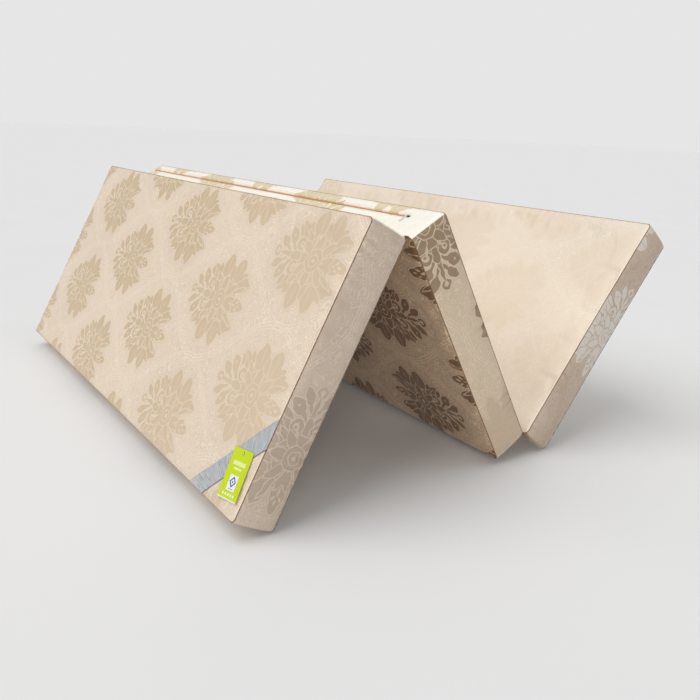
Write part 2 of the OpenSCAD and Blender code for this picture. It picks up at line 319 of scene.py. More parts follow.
class Pad:
    """The closed padded form of one panel, and what stands on it."""

    def __init__(self, panel, seed):
        self.panel, self.seed = panel, seed
        p = panel
        chain_low, chain_high = p.span(f"{p.name}_zip_chain")
        self.zip_z = float(chain_low[2] + chain_high[2]) / 2
        self.zip_y = (float(chain_low[1]), float(chain_high[1]))
        slot_z = [self.zip_z + hand * s * MM for hand in (-1, 1) for s in (0, 2.2, 4.4, 4.7, 5.3, 6.4, 8.3)]
        slot_y = [self.zip_y[0] + s * MM for s in (-4, -2, -0.8, 0.8, 2.5)]
        slot_y += [self.zip_y[1] + s * MM for s in (-3.4, -0.4, 1.6)]
        xs = lines_between(0, p.length, GRID_STEP, EDGE_LINES)
        ys = lines_between(-p.half, p.half, GRID_STEP, EDGE_LINES, slot_y)
        zs = lines_between(0, p.thick, GRID_STEP_UP, EDGE_LINES[:6], slot_z)
        self.plain, self.quads, self.number = box_grid(xs, ys, zs)
        self.points = self.shaped()

    def shaped(self):
        p = self.panel
        x, y, z = self.plain.T
        length, half, thick = p.length, p.half, p.thick
        zip_end = x < TINY
        face = (z < TINY) | (z > thick - TINY)
        sx, sy, sz = np.where(x < length / 2, -1, 1), np.where(y < 0, -1, 1), np.where(z < thick / 2, -1, 1)
        dx, dy, dz = np.minimum(x, length - x), half - np.abs(y), np.minimum(z, thick - z)
        dx, dy = round_corners(dx, dy, CORNER_R)
        near = np.exp(-dz / SEAM_PULL_REACH)
        out_x = -SEAM_PULL * near * np.exp(-dx / SEAM_PULL_REACH)
        out_y = -SEAM_PULL * near * np.exp(-dy / SEAM_PULL_REACH)
        bulge = np.clip(1 - (2 * z / thick - 1) ** 2, 0, 1) ** BULGE_POWER
        out_x += END_BULGE * bulge * np.exp(-dx / RIM_REACH)
        out_y += SIDE_BULGE * bulge * np.exp(-dy / RIM_REACH)
        across, along = np.abs(y) / half, np.abs(2 * x / length - 1)
        out_x -= BOW * (1 - across ** 2) * np.exp(-dx / BOW_REACH) * END_BOW
        out_y -= BOW * (1 - along ** 2) * np.exp(-dy / BOW_REACH)
        by_seam = 1 - (1 - np.exp(-dx / RIM_REACH)) * (1 - np.exp(-dy / RIM_REACH))
        out_z = -SEAM_DROP * by_seam * np.exp(-dz / SEAM_DROP_REACH)
        flat = smoothstep(dx / CROWN_FROM[0]) * smoothstep(dy / CROWN_FROM[1])
        out_z += np.where(face, CROWN * flat, 0)
        away = smoothstep(np.minimum(dx, dy) / UNEVEN_FROM)
        for side in (-1, 1):
            uneven = waves(np.stack([x, y], 1), UNEVEN_WAVES, self.seed + 10 + side, 12)
            out_z += np.where(face & (sz == side), UNEVEN * away * uneven, 0)
        ridge = np.exp(-((dy - RIDGE_AT) / RIDGE_WIDTH) ** 2) * smoothstep(dx / RIDGE_FADE)
        out_z += np.where(face, RIDGE * ridge, 0)
        px, py, pz = self.puckers(x, y, dx, dy, dz, sx, sy, sz, face)
        from_zip = np.abs(z - self.zip_z)
        px = px * np.where(zip_end, smoothstep((from_zip - ZIP_BESIDE) / ZIP_BESIDE_FADE), 1)
        out_x, out_y, out_z = out_x + px, out_y + py, out_z + pz
        # the zip lies in a slot between two folded edges, and a closed seam carries on past its end
        t = from_zip / MM
        groove = np.interp(t, SLOT_ACROSS, SLOT_HEIGHT) * MM
        first, last = self.zip_y
        open_at = [first - SLOT_OPENS[0], first + SLOT_OPENS[1], last - SLOT_SHUTS[0], last + SLOT_SHUTS[1]]
        is_open = np.interp(y, open_at, [0, 1, 1, 0])
        crease = -CREASE * np.exp(-(t / CREASE_WIDTH) ** 2) * (1 - is_open) * smoothstep(dy / CREASE_FADE)
        out_x += np.where(zip_end, groove * is_open + crease, 0)
        x = np.where(sx < 0, dx, length - dx) + sx * out_x
        y = sy * (half - dy) + sy * out_y
        return np.stack([x, y, z + sz * out_z], 1)

    def puckers(self, x, y, dx, dy, dz, sx, sy, sz, face):
        """Short folds that run from the seams and fade: how far they push each band and lift the faces."""

        def folds(s, seed):
            fine = waves(s[:, None], (0.016, 0.036), seed, 16)
            patches = 0.35 + 0.65 * np.clip(waves(s[:, None], (0.1, 0.3), seed + 1, 8) + 0.4, 0, 1.2)
            return fine * patches

        def fade(d, reach):
            return (d / reach) * np.exp(1 - d / reach)

        end_x, end_y = np.clip(dx / PUCKER_CORNER, 0, 1), np.clip(dy / PUCKER_CORNER, 0, 1)
        found = []
        ends, sides = (1, dx, y, end_y, sx, PUCKER_ENDS), (0, dy, x, end_x, sy, PUCKER_SIDES)
        for way, d, s, e, own, size in (ends, sides):
            pushed, lifted = np.zeros(len(x)), np.zeros(len(x))
            for hand in (-1, 1):
                for side in (-1, 1):
                    here = (own == hand) & (sz == side)
                    seed = self.seed + 40 + 7 * way + 3 * hand + 20 * side
                    lift = PUCKER * folds(s, seed) * fade(d, FACE_PUCKER_REACH) * e
                    lifted += np.where(here & face, lift, 0)
                    push = size * PUCKER * folds(s, seed + 100) * fade(dz, BAND_PUCKER_REACH) * e
                    pushed += np.where(here & ~face & (d < 1e-6), push, 0)
            found.append((pushed, lifted))
        return found[0][0], found[1][0], found[0][1] + found[1][1]

    def ring(self, top):
        """The seam's points round the face, in order, with the outward direction at each."""
        path = self.points[rim(self.number[:, :, -1 if top else 0])]
        ahead = np.roll(path, -1, 0) - np.roll(path, 1, 0)
        ahead /= np.linalg.norm(ahead, axis=1, keepdims=True)
        out = np.stack([ahead[:, 1], -ahead[:, 0], np.full(len(path), 1.0 if top else -1.0)], 1)
        return path, out / np.linalg.norm(out, axis=1, keepdims=True)

    def press(self):
        """Flattens what would press into the panel it folds onto, or into the zip's hanging pull."""
        p, points = self.panel, self.points
        x, y, z = self.plain.T
        for fold, (other, top, _) in FOLDS.items():
            if p.name not in ("middle", other):
                continue
            axis = p.own(JOINTS[fold]["pos_m"])
            plane, sign = (p.thick, 1) if top else (0.0, -1)
            room = sign * (axis[2] - plane) + np.abs(points[:, 0] - axis[0]) * HALF_SHUT - CONTACT_GAP
            proud = sign * (points[:, 2] - plane)
            soft = room - PRESS_SOFT * np.logaddexp(0, (room - proud) / PRESS_SOFT)
            points[:, 2] = np.where(np.abs(z - plane) < TINY, plane + sign * soft, points[:, 2])
        pull = p.points(f"{p.name}_zip_pull")
        behind = float(pull[pull[:, 2] < self.zip_z - ZIP_BESIDE][:, 0].max()) + CONTACT_GAP
        low_z = float(pull[:, 2].min()) - PULL_ROOM
        aside = np.maximum(low_z - z, 0) + np.maximum(self.zip_y[0] - y, 0) + np.maximum(y - self.zip_y[1], 0)
        pushed = np.maximum(points[:, 0], behind - PULL_SLOPE * aside)
        points[:, 0] = np.where((x < TINY) & (z < self.zip_z), pushed, points[:, 0])

    def surface(self):
        """A tree of the finished pad in its panel's own frame, to lay things on it."""
        return BVHTree.FromPolygons(self.points.tolist(), self.quads.tolist())


pads = {name: Pad(panels[name], 100 * number + 1) for number, name in enumerate(PANELS)}

# ---------------------------------------------------------------- cloth

CLOTH_FRAMES = 12
CLOTH_SHRINK = -0.016     # less than 0: the cover is cut that much too full
CLOTH_PRESSURE = 0.4
CLOTH_GAIN = 1.5          # makes up for what smoothing takes from the folds
CLOTH_CAP = 2.6 * MM      # how far the simulation may move a point
END_CAP = 0.8 * MM        # and how far outward at the ends, which face a neighbour
HOLD_STEPS = 20
SEAM_HOLD = 9 * MM        # the seams hold the cloth this far out
MIDDLE_HOLD = 0.5         # how firmly the padding holds the middle of a face, from 42 to 102 mm in
MIDDLE_FROM, MIDDLE_FADE = 42 * MM, 60 * MM
CORNER_HOLD, CORNER_FROM, CORNER_FADE, CORNER_BAND = 0.7, 12 * MM, 20 * MM, 30 * MM
ZIP_HOLD, ZIP_FADE = 9 * MM, 6 * MM
TAG_CLEAR = 118 * MM      # the cloth under the swinging tag stays smooth this far from its pin
TAG_FADE = 30 * MM


def held(pad, dx, dy, dz, face):
    """How firmly each point of the cover is held, 0 to 1."""
    p = pad.panel
    x, y, z = pad.plain.T
    inward = np.minimum(dx, dy)
    by_middle = MIDDLE_HOLD * smoothstep((inward - MIDDLE_FROM) / MIDDLE_FADE)
    hold = np.where(face, 1 - smoothstep(inward / SEAM_HOLD) + by_middle, 1 - smoothstep(dz / SEAM_HOLD))
    upright = ~face & (dx < TINY) & (dy < CORNER_BAND) | ~face & (dy < TINY) & (dx < CORNER_BAND)
    corner = 1 - smoothstep((np.maximum(dx, dy) - CORNER_FROM) / CORNER_FADE)
    hold = np.where(upright, np.maximum(hold, CORNER_HOLD * corner), hold)
    by_zip = 1 - smoothstep((np.abs(z - pad.zip_z) - ZIP_HOLD) / ZIP_FADE)
    hold = np.where(x < TINY, np.maximum(hold, by_zip), hold)
    if p.name == "head":
        pin = p.middle("tag_pin")
        by_tag = 1 - smoothstep((np.hypot(x - pin[0], y - pin[1]) - TAG_CLEAR) / TAG_FADE)
        hold = np.where(z > p.thick - TINY, np.maximum(hold, by_tag), hold)
    return np.clip(hold, 0, 1)


def drape_cloth(pad):
    """Puckers the cloth round the seams: the cover is cut a little full, and its seams hold it in."""
    p, quads = pad.panel, pad.quads
    x, y, z = pad.plain.T
    dx, dy, dz = np.minimum(x, p.length - x), p.half - np.abs(y), np.minimum(z, p.thick - z)
    face = dz < TINY
    hold = held(pad, dx, dy, dz, face)
    obj = add_mesh("cloth_trial", pad.points, quads)
    group = obj.vertex_groups.new(name="hold")
    levels = np.round(hold * HOLD_STEPS).astype(int)
    for level in np.unique(levels):
        group.add(np.flatnonzero(levels == level).tolist(), level / HOLD_STEPS, "REPLACE")
    cloth = obj.modifiers.new("cloth", "CLOTH")
    s = cloth.settings
    s.quality, s.mass = 3, 0.15
    s.tension_stiffness = s.compression_stiffness = 12.0
    s.shear_stiffness, s.bending_stiffness = 4.0, 6.0
    s.air_damping = 3.0
    s.vertex_group_mass = "hold"
    s.pin_stiffness = 2.0
    s.shrink_min = s.shrink_max = CLOTH_SHRINK
    s.use_pressure, s.uniform_pressure_force = True, CLOTH_PRESSURE
    s.effector_weights.gravity = 0.0
    cloth.collision_settings.use_collision = False
    cloth.point_cache.frame_start, cloth.point_cache.frame_end = 1, CLOTH_FRAMES
    scene = bpy.context.scene
    for number in range(1, CLOTH_FRAMES + 1):
        scene.frame_set(number)
    done = obj.evaluated_get(bpy.context.evaluated_depsgraph_get()).data
    flat = np.zeros(len(x) * 3, np.float32)
    done.vertices.foreach_get("co", flat)
    free = (1 - hold)[:, None]
    moved = (flat.reshape(-1, 3) - pad.points) * free
    edge = np.concatenate([quads[:, [0, 1]], quads[:, [1, 2]]])
    edge = np.concatenate([edge, edge[:, ::-1]])
    count = np.bincount(edge[:, 0], minlength=len(x))[:, None]
    for _ in range(3):
        around = [np.bincount(edge[:, 0], moved[edge[:, 1], a], len(x)) for a in range(3)]
        moved = moved * 0.4 + np.stack(around, 1) / count * 0.6
    moved = CLOTH_CAP * np.tanh(moved * CLOTH_GAIN * free / CLOTH_CAP)
    outward = np.where(x < p.length / 2, -1, 1)
    capped = outward * np.minimum(outward * moved[:, 0], END_CAP)
    moved[:, 0] = np.where(~face & (dx < TINY), capped, moved[:, 0])
    pad.points += moved
    mesh = obj.data
    bpy.data.objects.remove(obj)
    bpy.data.meshes.remove(mesh)
    scene.frame_set(1)


for pad in pads.values():
    drape_cloth(pad)
    pad.press()

# ---------------------------------------------------------------- materials

X, Y, Z = 0, 1, 2


class Graph:
    """Short ways to add shader nodes. A value may be a number or another node's output."""

    def __init__(self, tree):
        self.tree = tree

    def node(self, kind, outputs=0, inputs=None, **settings):
        made = self.tree.nodes.new("ShaderNode" + kind)
        for key, value in settings.items():
            setattr(made, key, value)
        for key, value in (inputs or {}).items():
            self.give(made.inputs[key], value)
        return made.outputs[outputs]

    def give(self, socket, value):
        if isinstance(value, bpy.types.NodeSocket):
            self.tree.links.new(value, socket)
        else:
            socket.default_value = value

    def math(self, operation, *values):
        return self.node("Math", inputs=dict(enumerate(values)), operation=operation)

    def add(self, a, b):
        return self.math("ADD", a, b)

    def sub(self, a, b):
        return self.math("SUBTRACT", a, b)

    def mul(self, a, b):
        return self.math("MULTIPLY", a, b)

    def abs(self, a):
        return self.math("ABSOLUTE", a)

    def vec(self, operation, *values, scalar=False):
        return self.node("VectorMath", 1 if scalar else 0, dict(enumerate(values)), operation=operation)

    def ramp(self, value, low, high, to_low=0.0, to_high=1.0):
        return self.node("MapRange", inputs={0: value, 1: low, 2: high, 3: to_low, 4: to_high},
                         interpolation_type="SMOOTHSTEP")

    def mix(self, share, a, b):
        made = self.tree.nodes.new("ShaderNodeMix")
        made.data_type = "RGBA"
        self.give(made.inputs[0], share)
        for socket, tone in ((6, a), (7, b)):
            self.give(made.inputs[socket], tone if isinstance(tone, bpy.types.NodeSocket) else (*tone, 1))
        return made.outputs[2]

    def noise(self, vector, scale, detail=2.0, roughness=0.5, distortion=0.0, colour=False):
        return self.node("TexNoise", 1 if colour else 0, {"Vector": vector, "Scale": scale, "Detail": detail,
                                                          "Roughness": roughness, "Distortion": distortion})

    def join(self, x, y, z=0.0):
        return self.node("CombineXYZ", inputs={0: x, 1: y, 2: z})

    def apart(self, vector):
        made = self.tree.nodes.new("ShaderNodeSeparateXYZ")
        self.tree.links.new(vector, made.inputs[0])
        return made.outputs


class Surface(Graph):
    """A new material's graph. place holds the coordinates that its pattern starts from."""

    def __init__(self, name, coordinate="Object"):
        self.material = bpy.data.materials.new(name)
        self.material.use_nodes = True
        super().__init__(self.material.node_tree)
        self.tree.nodes.clear()
        self.shader = self.tree.nodes.new("ShaderNodeBsdfPrincipled")
        out = self.tree.nodes.new("ShaderNodeOutputMaterial")
        self.tree.links.new(self.shader.outputs[0], out.inputs[0])
        self.place = self.node("TexCoord", coordinate)

    def finish(self, values, height=None, strength=0.0, distance=0.0):
        """Sets the shader's values and its bump, and gives the material."""
        for name, value in values.items():
            self.give(self.shader.inputs[name], value)
        if height is not None:
            made = self.tree.nodes.new("ShaderNodeBump")
            made.inputs["Strength"].default_value = strength
            made.inputs["Distance"].default_value = distance
            self.tree.links.new(height, made.inputs["Height"])
            self.tree.links.new(made.outputs[0], self.shader.inputs["Normal"])
        return self.material


def linear(red, green, blue):
    """A colour from its 0 to 255 screen values."""
    return tuple(c / 12.92 if c <= 0.04045 else ((c + 0.055) / 1.055) ** 2.4
                 for c in (red / 255, green / 255, blue / 255))


def scaled(colour, share):
    return tuple(min(1, c * share) for c in colour)


REPEAT_U, REPEAT_V = 600.0, 308.0     # the damask's repeat, in millimetres
MOTIF_REACH = 151.0                   # half the width in which one motif's own lattice is used
# Petals lie over each other like shingles, each with a light thread round it. Each is a disc (x, y, radius)
# or a leaf pointed at both ends (x, y, angle, reach, width).
PETALS = [
    [(-6, 84, 98, 32, 22), (-18, 74, 112, 26, 12)],
    [(50, 80, 84, 32, 23), (74, 62, 44, 26, 13)],
    [(22, 62, 92, 30, 12)],
    [(88, 46, 14, 38, 17), (86, 56, 38, 22, 10)],
    [(80, 34, 24, 34, 7)],
    [(-52, 60, 138, 32, 14), (-38, 68, 112, 20, 10)],
    [(-30, 46, 128, 22, 9)],
    [(-117, 26, 148, 22, 12), (-94, 13, 152, 18, 5)],
    [(-92, 42, 126, 24, 15), (-76, 20, 136, 22, 6)],
    [(-72, 58, 120, 18, 8)],
    [(-132, 0, 14)],
    [(-84, 0, 0, 46, 7.5)],
    [(-56, 0, 0, 24, 12)],
    [(-52, 28, 17)],
    [(90, 0, 0, 38, 19), (112, 0, 0, 22, 13)],
    [(14, 0, 52)],
    [(46, 30, 42, 28, 11)],
    [(10, 38, 84, 24, 13)],
    [(-22, 24, 140, 24, 11)],
    [(60, 8, 12, 26, 9)],
    [(12, 0, 27)],
    [(12, 0, 15)],
]
VEINS = [
    [(-6, 84, 98, 27, 0.9), (50, 80, 84, 27, 0.9), (94, 46, 14, 30, 1.0), (-52, 60, 138, 26, 0.9)],
    [(-6, 40, 80, 16, 1.2), (26, 38, 92, 16, 1.2), (-132, 0, 6), (-50, 27, 8)],
    [(-41, 20, -30, 14, 3), (-94, 44, 3.2), (100, 9, 30, 8, 2.6), (110, 0, 0, 9, 2.6)],
    [(84, 0, 0, 12, 1.6), (12, 0, 5)],
]


def damask_group():
    """The damask's figure, threads, swirls and lattice lines, each 0 to 1, from u and v in millimetres."""
    tree = bpy.data.node_groups.new("damask", "ShaderNodeTree")
    for name in ("U", "V"):
        tree.interface.new_socket(name, in_out="INPUT", socket_type="NodeSocketFloat")
    for name in ("Figure", "Threads", "Swirl", "Lattice"):
        tree.interface.new_socket(name, in_out="OUTPUT", socket_type="NodeSocketFloat")
    g = Graph(tree)
    come = tree.nodes.new("NodeGroupInput")
    leave = tree.nodes.new("NodeGroupOutput")
    u, v = come.outputs[0], come.outputs[1]
    # half-drop repeat: two lattices, each good where the other is not
    ua = g.math("WRAP", u, REPEAT_U / 2, -REPEAT_U / 2)
    va = g.math("WRAP", v, REPEAT_V / 2, -REPEAT_V / 2)
    vb = g.math("WRAP", g.add(v, REPEAT_V / 2), REPEAT_V / 2, -REPEAT_V / 2)
    second = g.math("GREATER_THAN", g.abs(ua), MOTIF_REACH)
    shift = g.mul(g.math("SIGN", ua), g.mul(second, -REPEAT_U / 2))
    mu = g.add(ua, shift)
    mv = g.add(va, g.mul(second, g.sub(vb, va)))
    flat = g.join(u, v)
    wobble = g.vec("SUBTRACT", g.noise(flat, 0.05, 1.0, colour=True), (0.5, 0.5, 0.5))
    wobble = g.vec("MULTIPLY", wobble, (10.0, 10.0, 0.0))
    start = g.vec("ADD", g.join(mu, g.abs(mv)), wobble)

    def outside(hand, x, y, *size):
        """How far a point is outside a disc or a pointed leaf."""
        if len(size) == 1:
            return g.sub(g.vec("DISTANCE", hand, (x, y, 0), scalar=True), float(size[0]))
        angle, reach, width = size
        radius = (reach * reach + width * width) / (2 * width)
        own = g.node("Mapping", inputs={"Vector": hand, "Location": (x, y, 0),
                     "Rotation": (0, 0, math.radians(angle))}, vector_type="TEXTURE")
        shifted = g.vec("ADD", g.vec("ABSOLUTE", own), (0, radius - width, 0))
        return g.sub(g.vec("LENGTH", shifted, scalar=True), radius)

    def union(hand, shapes):
        total = outside(hand, *shapes[0])
        for s in shapes[1:]:
            total = g.math("MINIMUM", total, outside(hand, *s))
        return total

    def after(*values):
        """The same point, tied to earlier results, so the renderer works through the shapes one by one."""
        return g.vec("MULTIPLY_ADD", g.join(*values), (1e-7, 1e-7, 1e-7), start)

    shape, threads, hand = outside(start, 14, 0, 66), 0.0, start
    for shapes in PETALS:
        distance = union(hand, shapes)
        line = g.ramp(g.abs(distance), 1.7, 0.7)
        under = g.mul(threads, g.ramp(distance, -1.0, 0.6))
        threads = g.math("MAXIMUM", line, under)
        shape = g.math("MINIMUM", shape, distance)
        hand = after(shape, threads)
    for shapes in VEINS:
        threads = g.math("MAXIMUM", threads, g.ramp(union(hand, shapes), 0.7, -0.6))
        hand = after(shape, threads)
    eye = g.ramp(outside(hand, -49, 27, 3.4), 0.6, -0.6)
    threads = g.mul(threads, g.sub(1.0, eye))
    figure = g.ramp(shape, 0.9, -0.9)
    # fine swirls over the ground: level lines of a slow noise
    level = g.mul(g.noise(flat, 0.032, 1.0, 0.45, 1.2), 10.0)
    line = g.abs(g.sub(g.math("FRACT", level), 0.5))
    swirl = g.mul(g.ramp(line, 0.24, 0.10), g.ramp(shape, 3.0, 8.0))
    # thin lines run between the motifs in long S-curves
    wave = g.mul(g.math("COSINE", g.mul(u, TURN / REPEAT_U)), REPEAT_V / 4)
    lattice = None
    for sign in (1, -1):
        off = g.sub(v, g.mul(g.add(wave, REPEAT_V / 4), float(sign)))
        off = g.abs(g.math("WRAP", off, REPEAT_V / 2, -REPEAT_V / 2))
        lines = g.mul(g.ramp(g.math("PINGPONG", off, 4.0), 1.6, 0.6), g.ramp(off, 10.5, 9.5))
        lattice = lines if lattice is None else g.math("MAXIMUM", lattice, lines)
    lattice = g.mul(lattice, g.ramp(shape, 3.0, 6.0))
    for number, value in enumerate((figure, threads, swirl, lattice)):
        tree.links.new(value, leave.inputs[number])
    return tree


DAMASK = damask_group()
SATIN_ROUGH, GROUND_ROUGH = 0.44, 0.58


def damask(name, across, along, colours, contrast=1.0, ground_lines=1.0, fade=None, lip=None):
    """Damask for one face. across and along are (axis, sign, zero) in the panel's frame, for u and v.

    fade (axis, from, to, least) weakens the figure along the panel, and contrast sets how plainly it shows on
    the whole face.
    Both are painted sheen, standing for how the satin figure washes out in the light.
    lip is where the side seams lie; a lighter strip just inside them is a painted highlight on the seam's
    shoulder.
    """
    ground, motif, light = colours
    g = Surface(name)
    parts = g.apart(g.place)
    u, v = (g.math("MULTIPLY_ADD", parts[axis], sign / MM, -sign * zero / MM)
            for axis, sign, zero in (across, along))
    group = g.tree.nodes.new("ShaderNodeGroup")
    group.node_tree = DAMASK
    g.give(group.inputs[0], u)
    g.give(group.inputs[1], v)
    figure, threads, swirl, lattice = group.outputs
    # painted sheen: how plainly the figure shows is set per face and faded along the panel, as the satin's
    # sheen would wash it out
    seen = contrast
    if fade:
        axis, start, stop, least = fade
        seen = g.ramp(parts[axis], start, stop, contrast, contrast * least)
    wide = g.noise(g.place, 3.2, 2.0)
    patch = g.noise(g.place, 17.0, 3.0, 0.6)
    tone = g.ramp(g.add(g.mul(wide, 0.7), g.mul(patch, 0.3)), 0.3, 0.7)
    base = g.mix(tone, scaled(ground, 0.955), scaled(ground, 1.035))
    base = g.mix(g.mul(swirl, 0.62 * contrast * ground_lines), base, light)
    base = g.mix(g.mul(lattice, 0.6 * contrast * ground_lines), base, light)
    # the figure's satin floats run along the cloth: fine streaks
    streak = g.noise(g.join(g.mul(u, 0.9), g.mul(v, 0.06)), 0.5, 2.0)
    figure_colour = g.mix(g.ramp(streak, 0.3, 0.7), scaled(motif, 0.95), scaled(motif, 1.05))
    colour = g.mix(g.mul(figure, seen), base, figure_colour)
    colour = g.mix(g.mul(g.mul(threads, 0.7), seen), colour, light)
    # painted highlight: a patchy lighter strip just inside each side seam, where the seam's shoulder catches
    # the light
    if lip:
        by_side = g.ramp(g.abs(parts[Y]), lip - 9 * MM, lip - 7 * MM)
        painted_lip_highlight = g.mul(by_side, g.ramp(g.noise(g.place, 9.0, 2.0), 0.35, 0.6, 0.15, 0.8))
        colour = g.mix(painted_lip_highlight, colour, scaled(ground, 1.18))
    fuzz = g.noise(g.place, 900.0, 1.0)
    rough = g.math("MULTIPLY_ADD", figure, SATIN_ROUGH - GROUND_ROUGH, GROUND_ROUGH)
    rough = g.add(rough, g.mul(g.sub(fuzz, 0.5), 0.12))
    # weave: a fine twill, and the figure woven a little lower than the ground
    twill = g.math("SINE", g.mul(g.add(u, g.mul(v, 0.8)), TURN / 1.1))
    warp = g.math("SINE", g.mul(v, TURN / 0.8))
    height = g.math("MULTIPLY_ADD", twill, 0.09, g.mul(warp, 0.05))
    for part, much in ((figure, -0.5), (swirl, 0.30), (lattice, 0.25), (threads, 0.5)):
        height = g.add(height, g.mul(part, much))
    height = g.add(height, g.mul(g.noise(g.place, 60.0, 3.0), 0.5))
    return g.finish({"Base Color": colour, "Roughness": rough, "Sheen Weight": 0.25, "Sheen Roughness": 0.4,
                     "Specular IOR Level": 0.4}, height, 0.5, 0.5 * MM)


def plain_cloth(name, colour, second, scale, roughness=0.7, sheen=0.2, rib=None,
                strength=0.5, distance=0.4 * MM):
    """A woven or felted cloth: two mixed tones, a rib (axis, pitch in metres) or none, and a fuzzy bump. A
    rib's grooves get painted shade.
    """
    g = Surface(name)
    mixed = g.mix(g.ramp(g.noise(g.place, scale, 4.0, 0.65), 0.35, 0.65), colour, second)
    height = g.noise(g.place, scale * 6, 3.0, 0.7)
    if rib:
        wave = g.math("SINE", g.mul(g.apart(g.place)[rib[0]], TURN / rib[1]))
        height = g.math("MULTIPLY_ADD", wave, 0.6, height)
        # painted shade: the rib's grooves are coloured darker, following the rib bump
        mixed = g.mix(g.ramp(wave, -0.9, 0.4, 0.35, 0.0), mixed, scaled(second, 0.55))
    rough = g.ramp(g.noise(g.place, scale * 3, 2.0), 0.3, 0.7, roughness - 0.07, roughness + 0.07)
    values = {"Base Color": mixed, "Roughness": rough, "Sheen Weight": sheen}
    return g.finish(values, height, strength, distance)


def glossy(name, colour, second, roughness, metallic=0.0, scale=400.0, stretch=(1, 1, 1), coat=0.0):
    """Metal or plastic with fine marks: colour and roughness vary along stretched noise."""
    g = Surface(name)
    marks = g.noise(g.vec("MULTIPLY", g.place, stretch), scale, 3.0, 0.6)
    return g.finish({
        "Base Color": g.mix(g.ramp(marks, 0.35, 0.65), colour, second),
        "Roughness": g.ramp(marks, 0.3, 0.7, roughness * 0.75, roughness * 1.3),
        "Metallic": metallic, "Coat Weight": coat}, marks, 0.25, 0.05 * MM)


SEAM_BROWN = plain_cloth("seam_brown", linear(92, 66, 48), linear(128, 96, 72), 300, 0.65, 0.1, strength=0.8)
CORE_FIBRE = plain_cloth("pressed_fibre", linear(236, 230, 216), linear(205, 196, 178), 140, 0.9, 0.3,
                         strength=1.0, distance=1.5 * MM)
WADDING_WHITE = plain_cloth("wadding_white", linear(246, 246, 242), linear(232, 232, 228), 90, 0.95, 0.6,
                            strength=1.0, distance=1.2 * MM)
FOLD_TAPE = plain_cloth("fold_tape_twill", linear(222, 208, 186), linear(198, 184, 160), 260, 0.8,
                        rib=(Y, 2.2 * MM))
ZIP_TAPE = plain_cloth("zip_tape_twill", linear(240, 176, 116), linear(222, 152, 92), 300, 0.75,
                       rib=(Z, 1.1 * MM))
ZIP_COIL = glossy("zip_coil_nylon", linear(238, 168, 106), linear(212, 138, 80), 0.42)
SLIDER_METAL = glossy("slider_gunmetal", linear(60, 54, 50), linear(96, 88, 82), 0.34, 1.0, 900.0,
                      (1, 0.15, 1))
PULL_METAL = glossy("pull_enamel", linear(232, 230, 224), linear(206, 204, 198), 0.3, 0.0, 700.0,
                    (1, 1, 0.2), 0.4)
THREAD = plain_cloth("stitch_thread", linear(196, 170, 138), linear(160, 132, 100), 700, 0.6)
PIN_PLASTIC = glossy("pin_plastic", linear(226, 228, 232), linear(205, 208, 214), 0.3, scale=300.0)

# Screen colours of the damask: ground, figure, and the light threads between.
# The sets are one cloth in lit and shaded copies, so they carry painted light and shade: the foot's face
# and the zip end bands are painted light, and the under faces, plain ends and side bands are painted shade.
# The figure turning lighter or darker than the ground from set to set is painted sheen.
HEAD_FACE = linear(222, 204, 183), linear(206, 183, 150), linear(238, 226, 208)
PAINTED_LIT_FACE = linear(234, 221, 204), linear(228, 211, 186), linear(243, 233, 218)
PAINTED_SHADE_UNDER_FACE = linear(186, 156, 125), linear(120, 86, 54), linear(220, 196, 166)
SIDE_BAND = linear(202, 184, 166), linear(184, 166, 146), linear(222, 207, 190)
MIDDLE_SIDE = linear(210, 190, 164), linear(158, 134, 106), linear(228, 211, 188)
FOOT_SIDE = linear(198, 180, 162), linear(214, 206, 196), linear(176, 154, 134)
PAINTED_LIT_END_BAND = linear(254, 249, 239), linear(222, 204, 160), linear(254, 250, 240)
PAINTED_SHADE_PLAIN_END = linear(182, 158, 130), linear(150, 122, 90), linear(208, 188, 162)
SIDE_SEAM = panels["head"].half

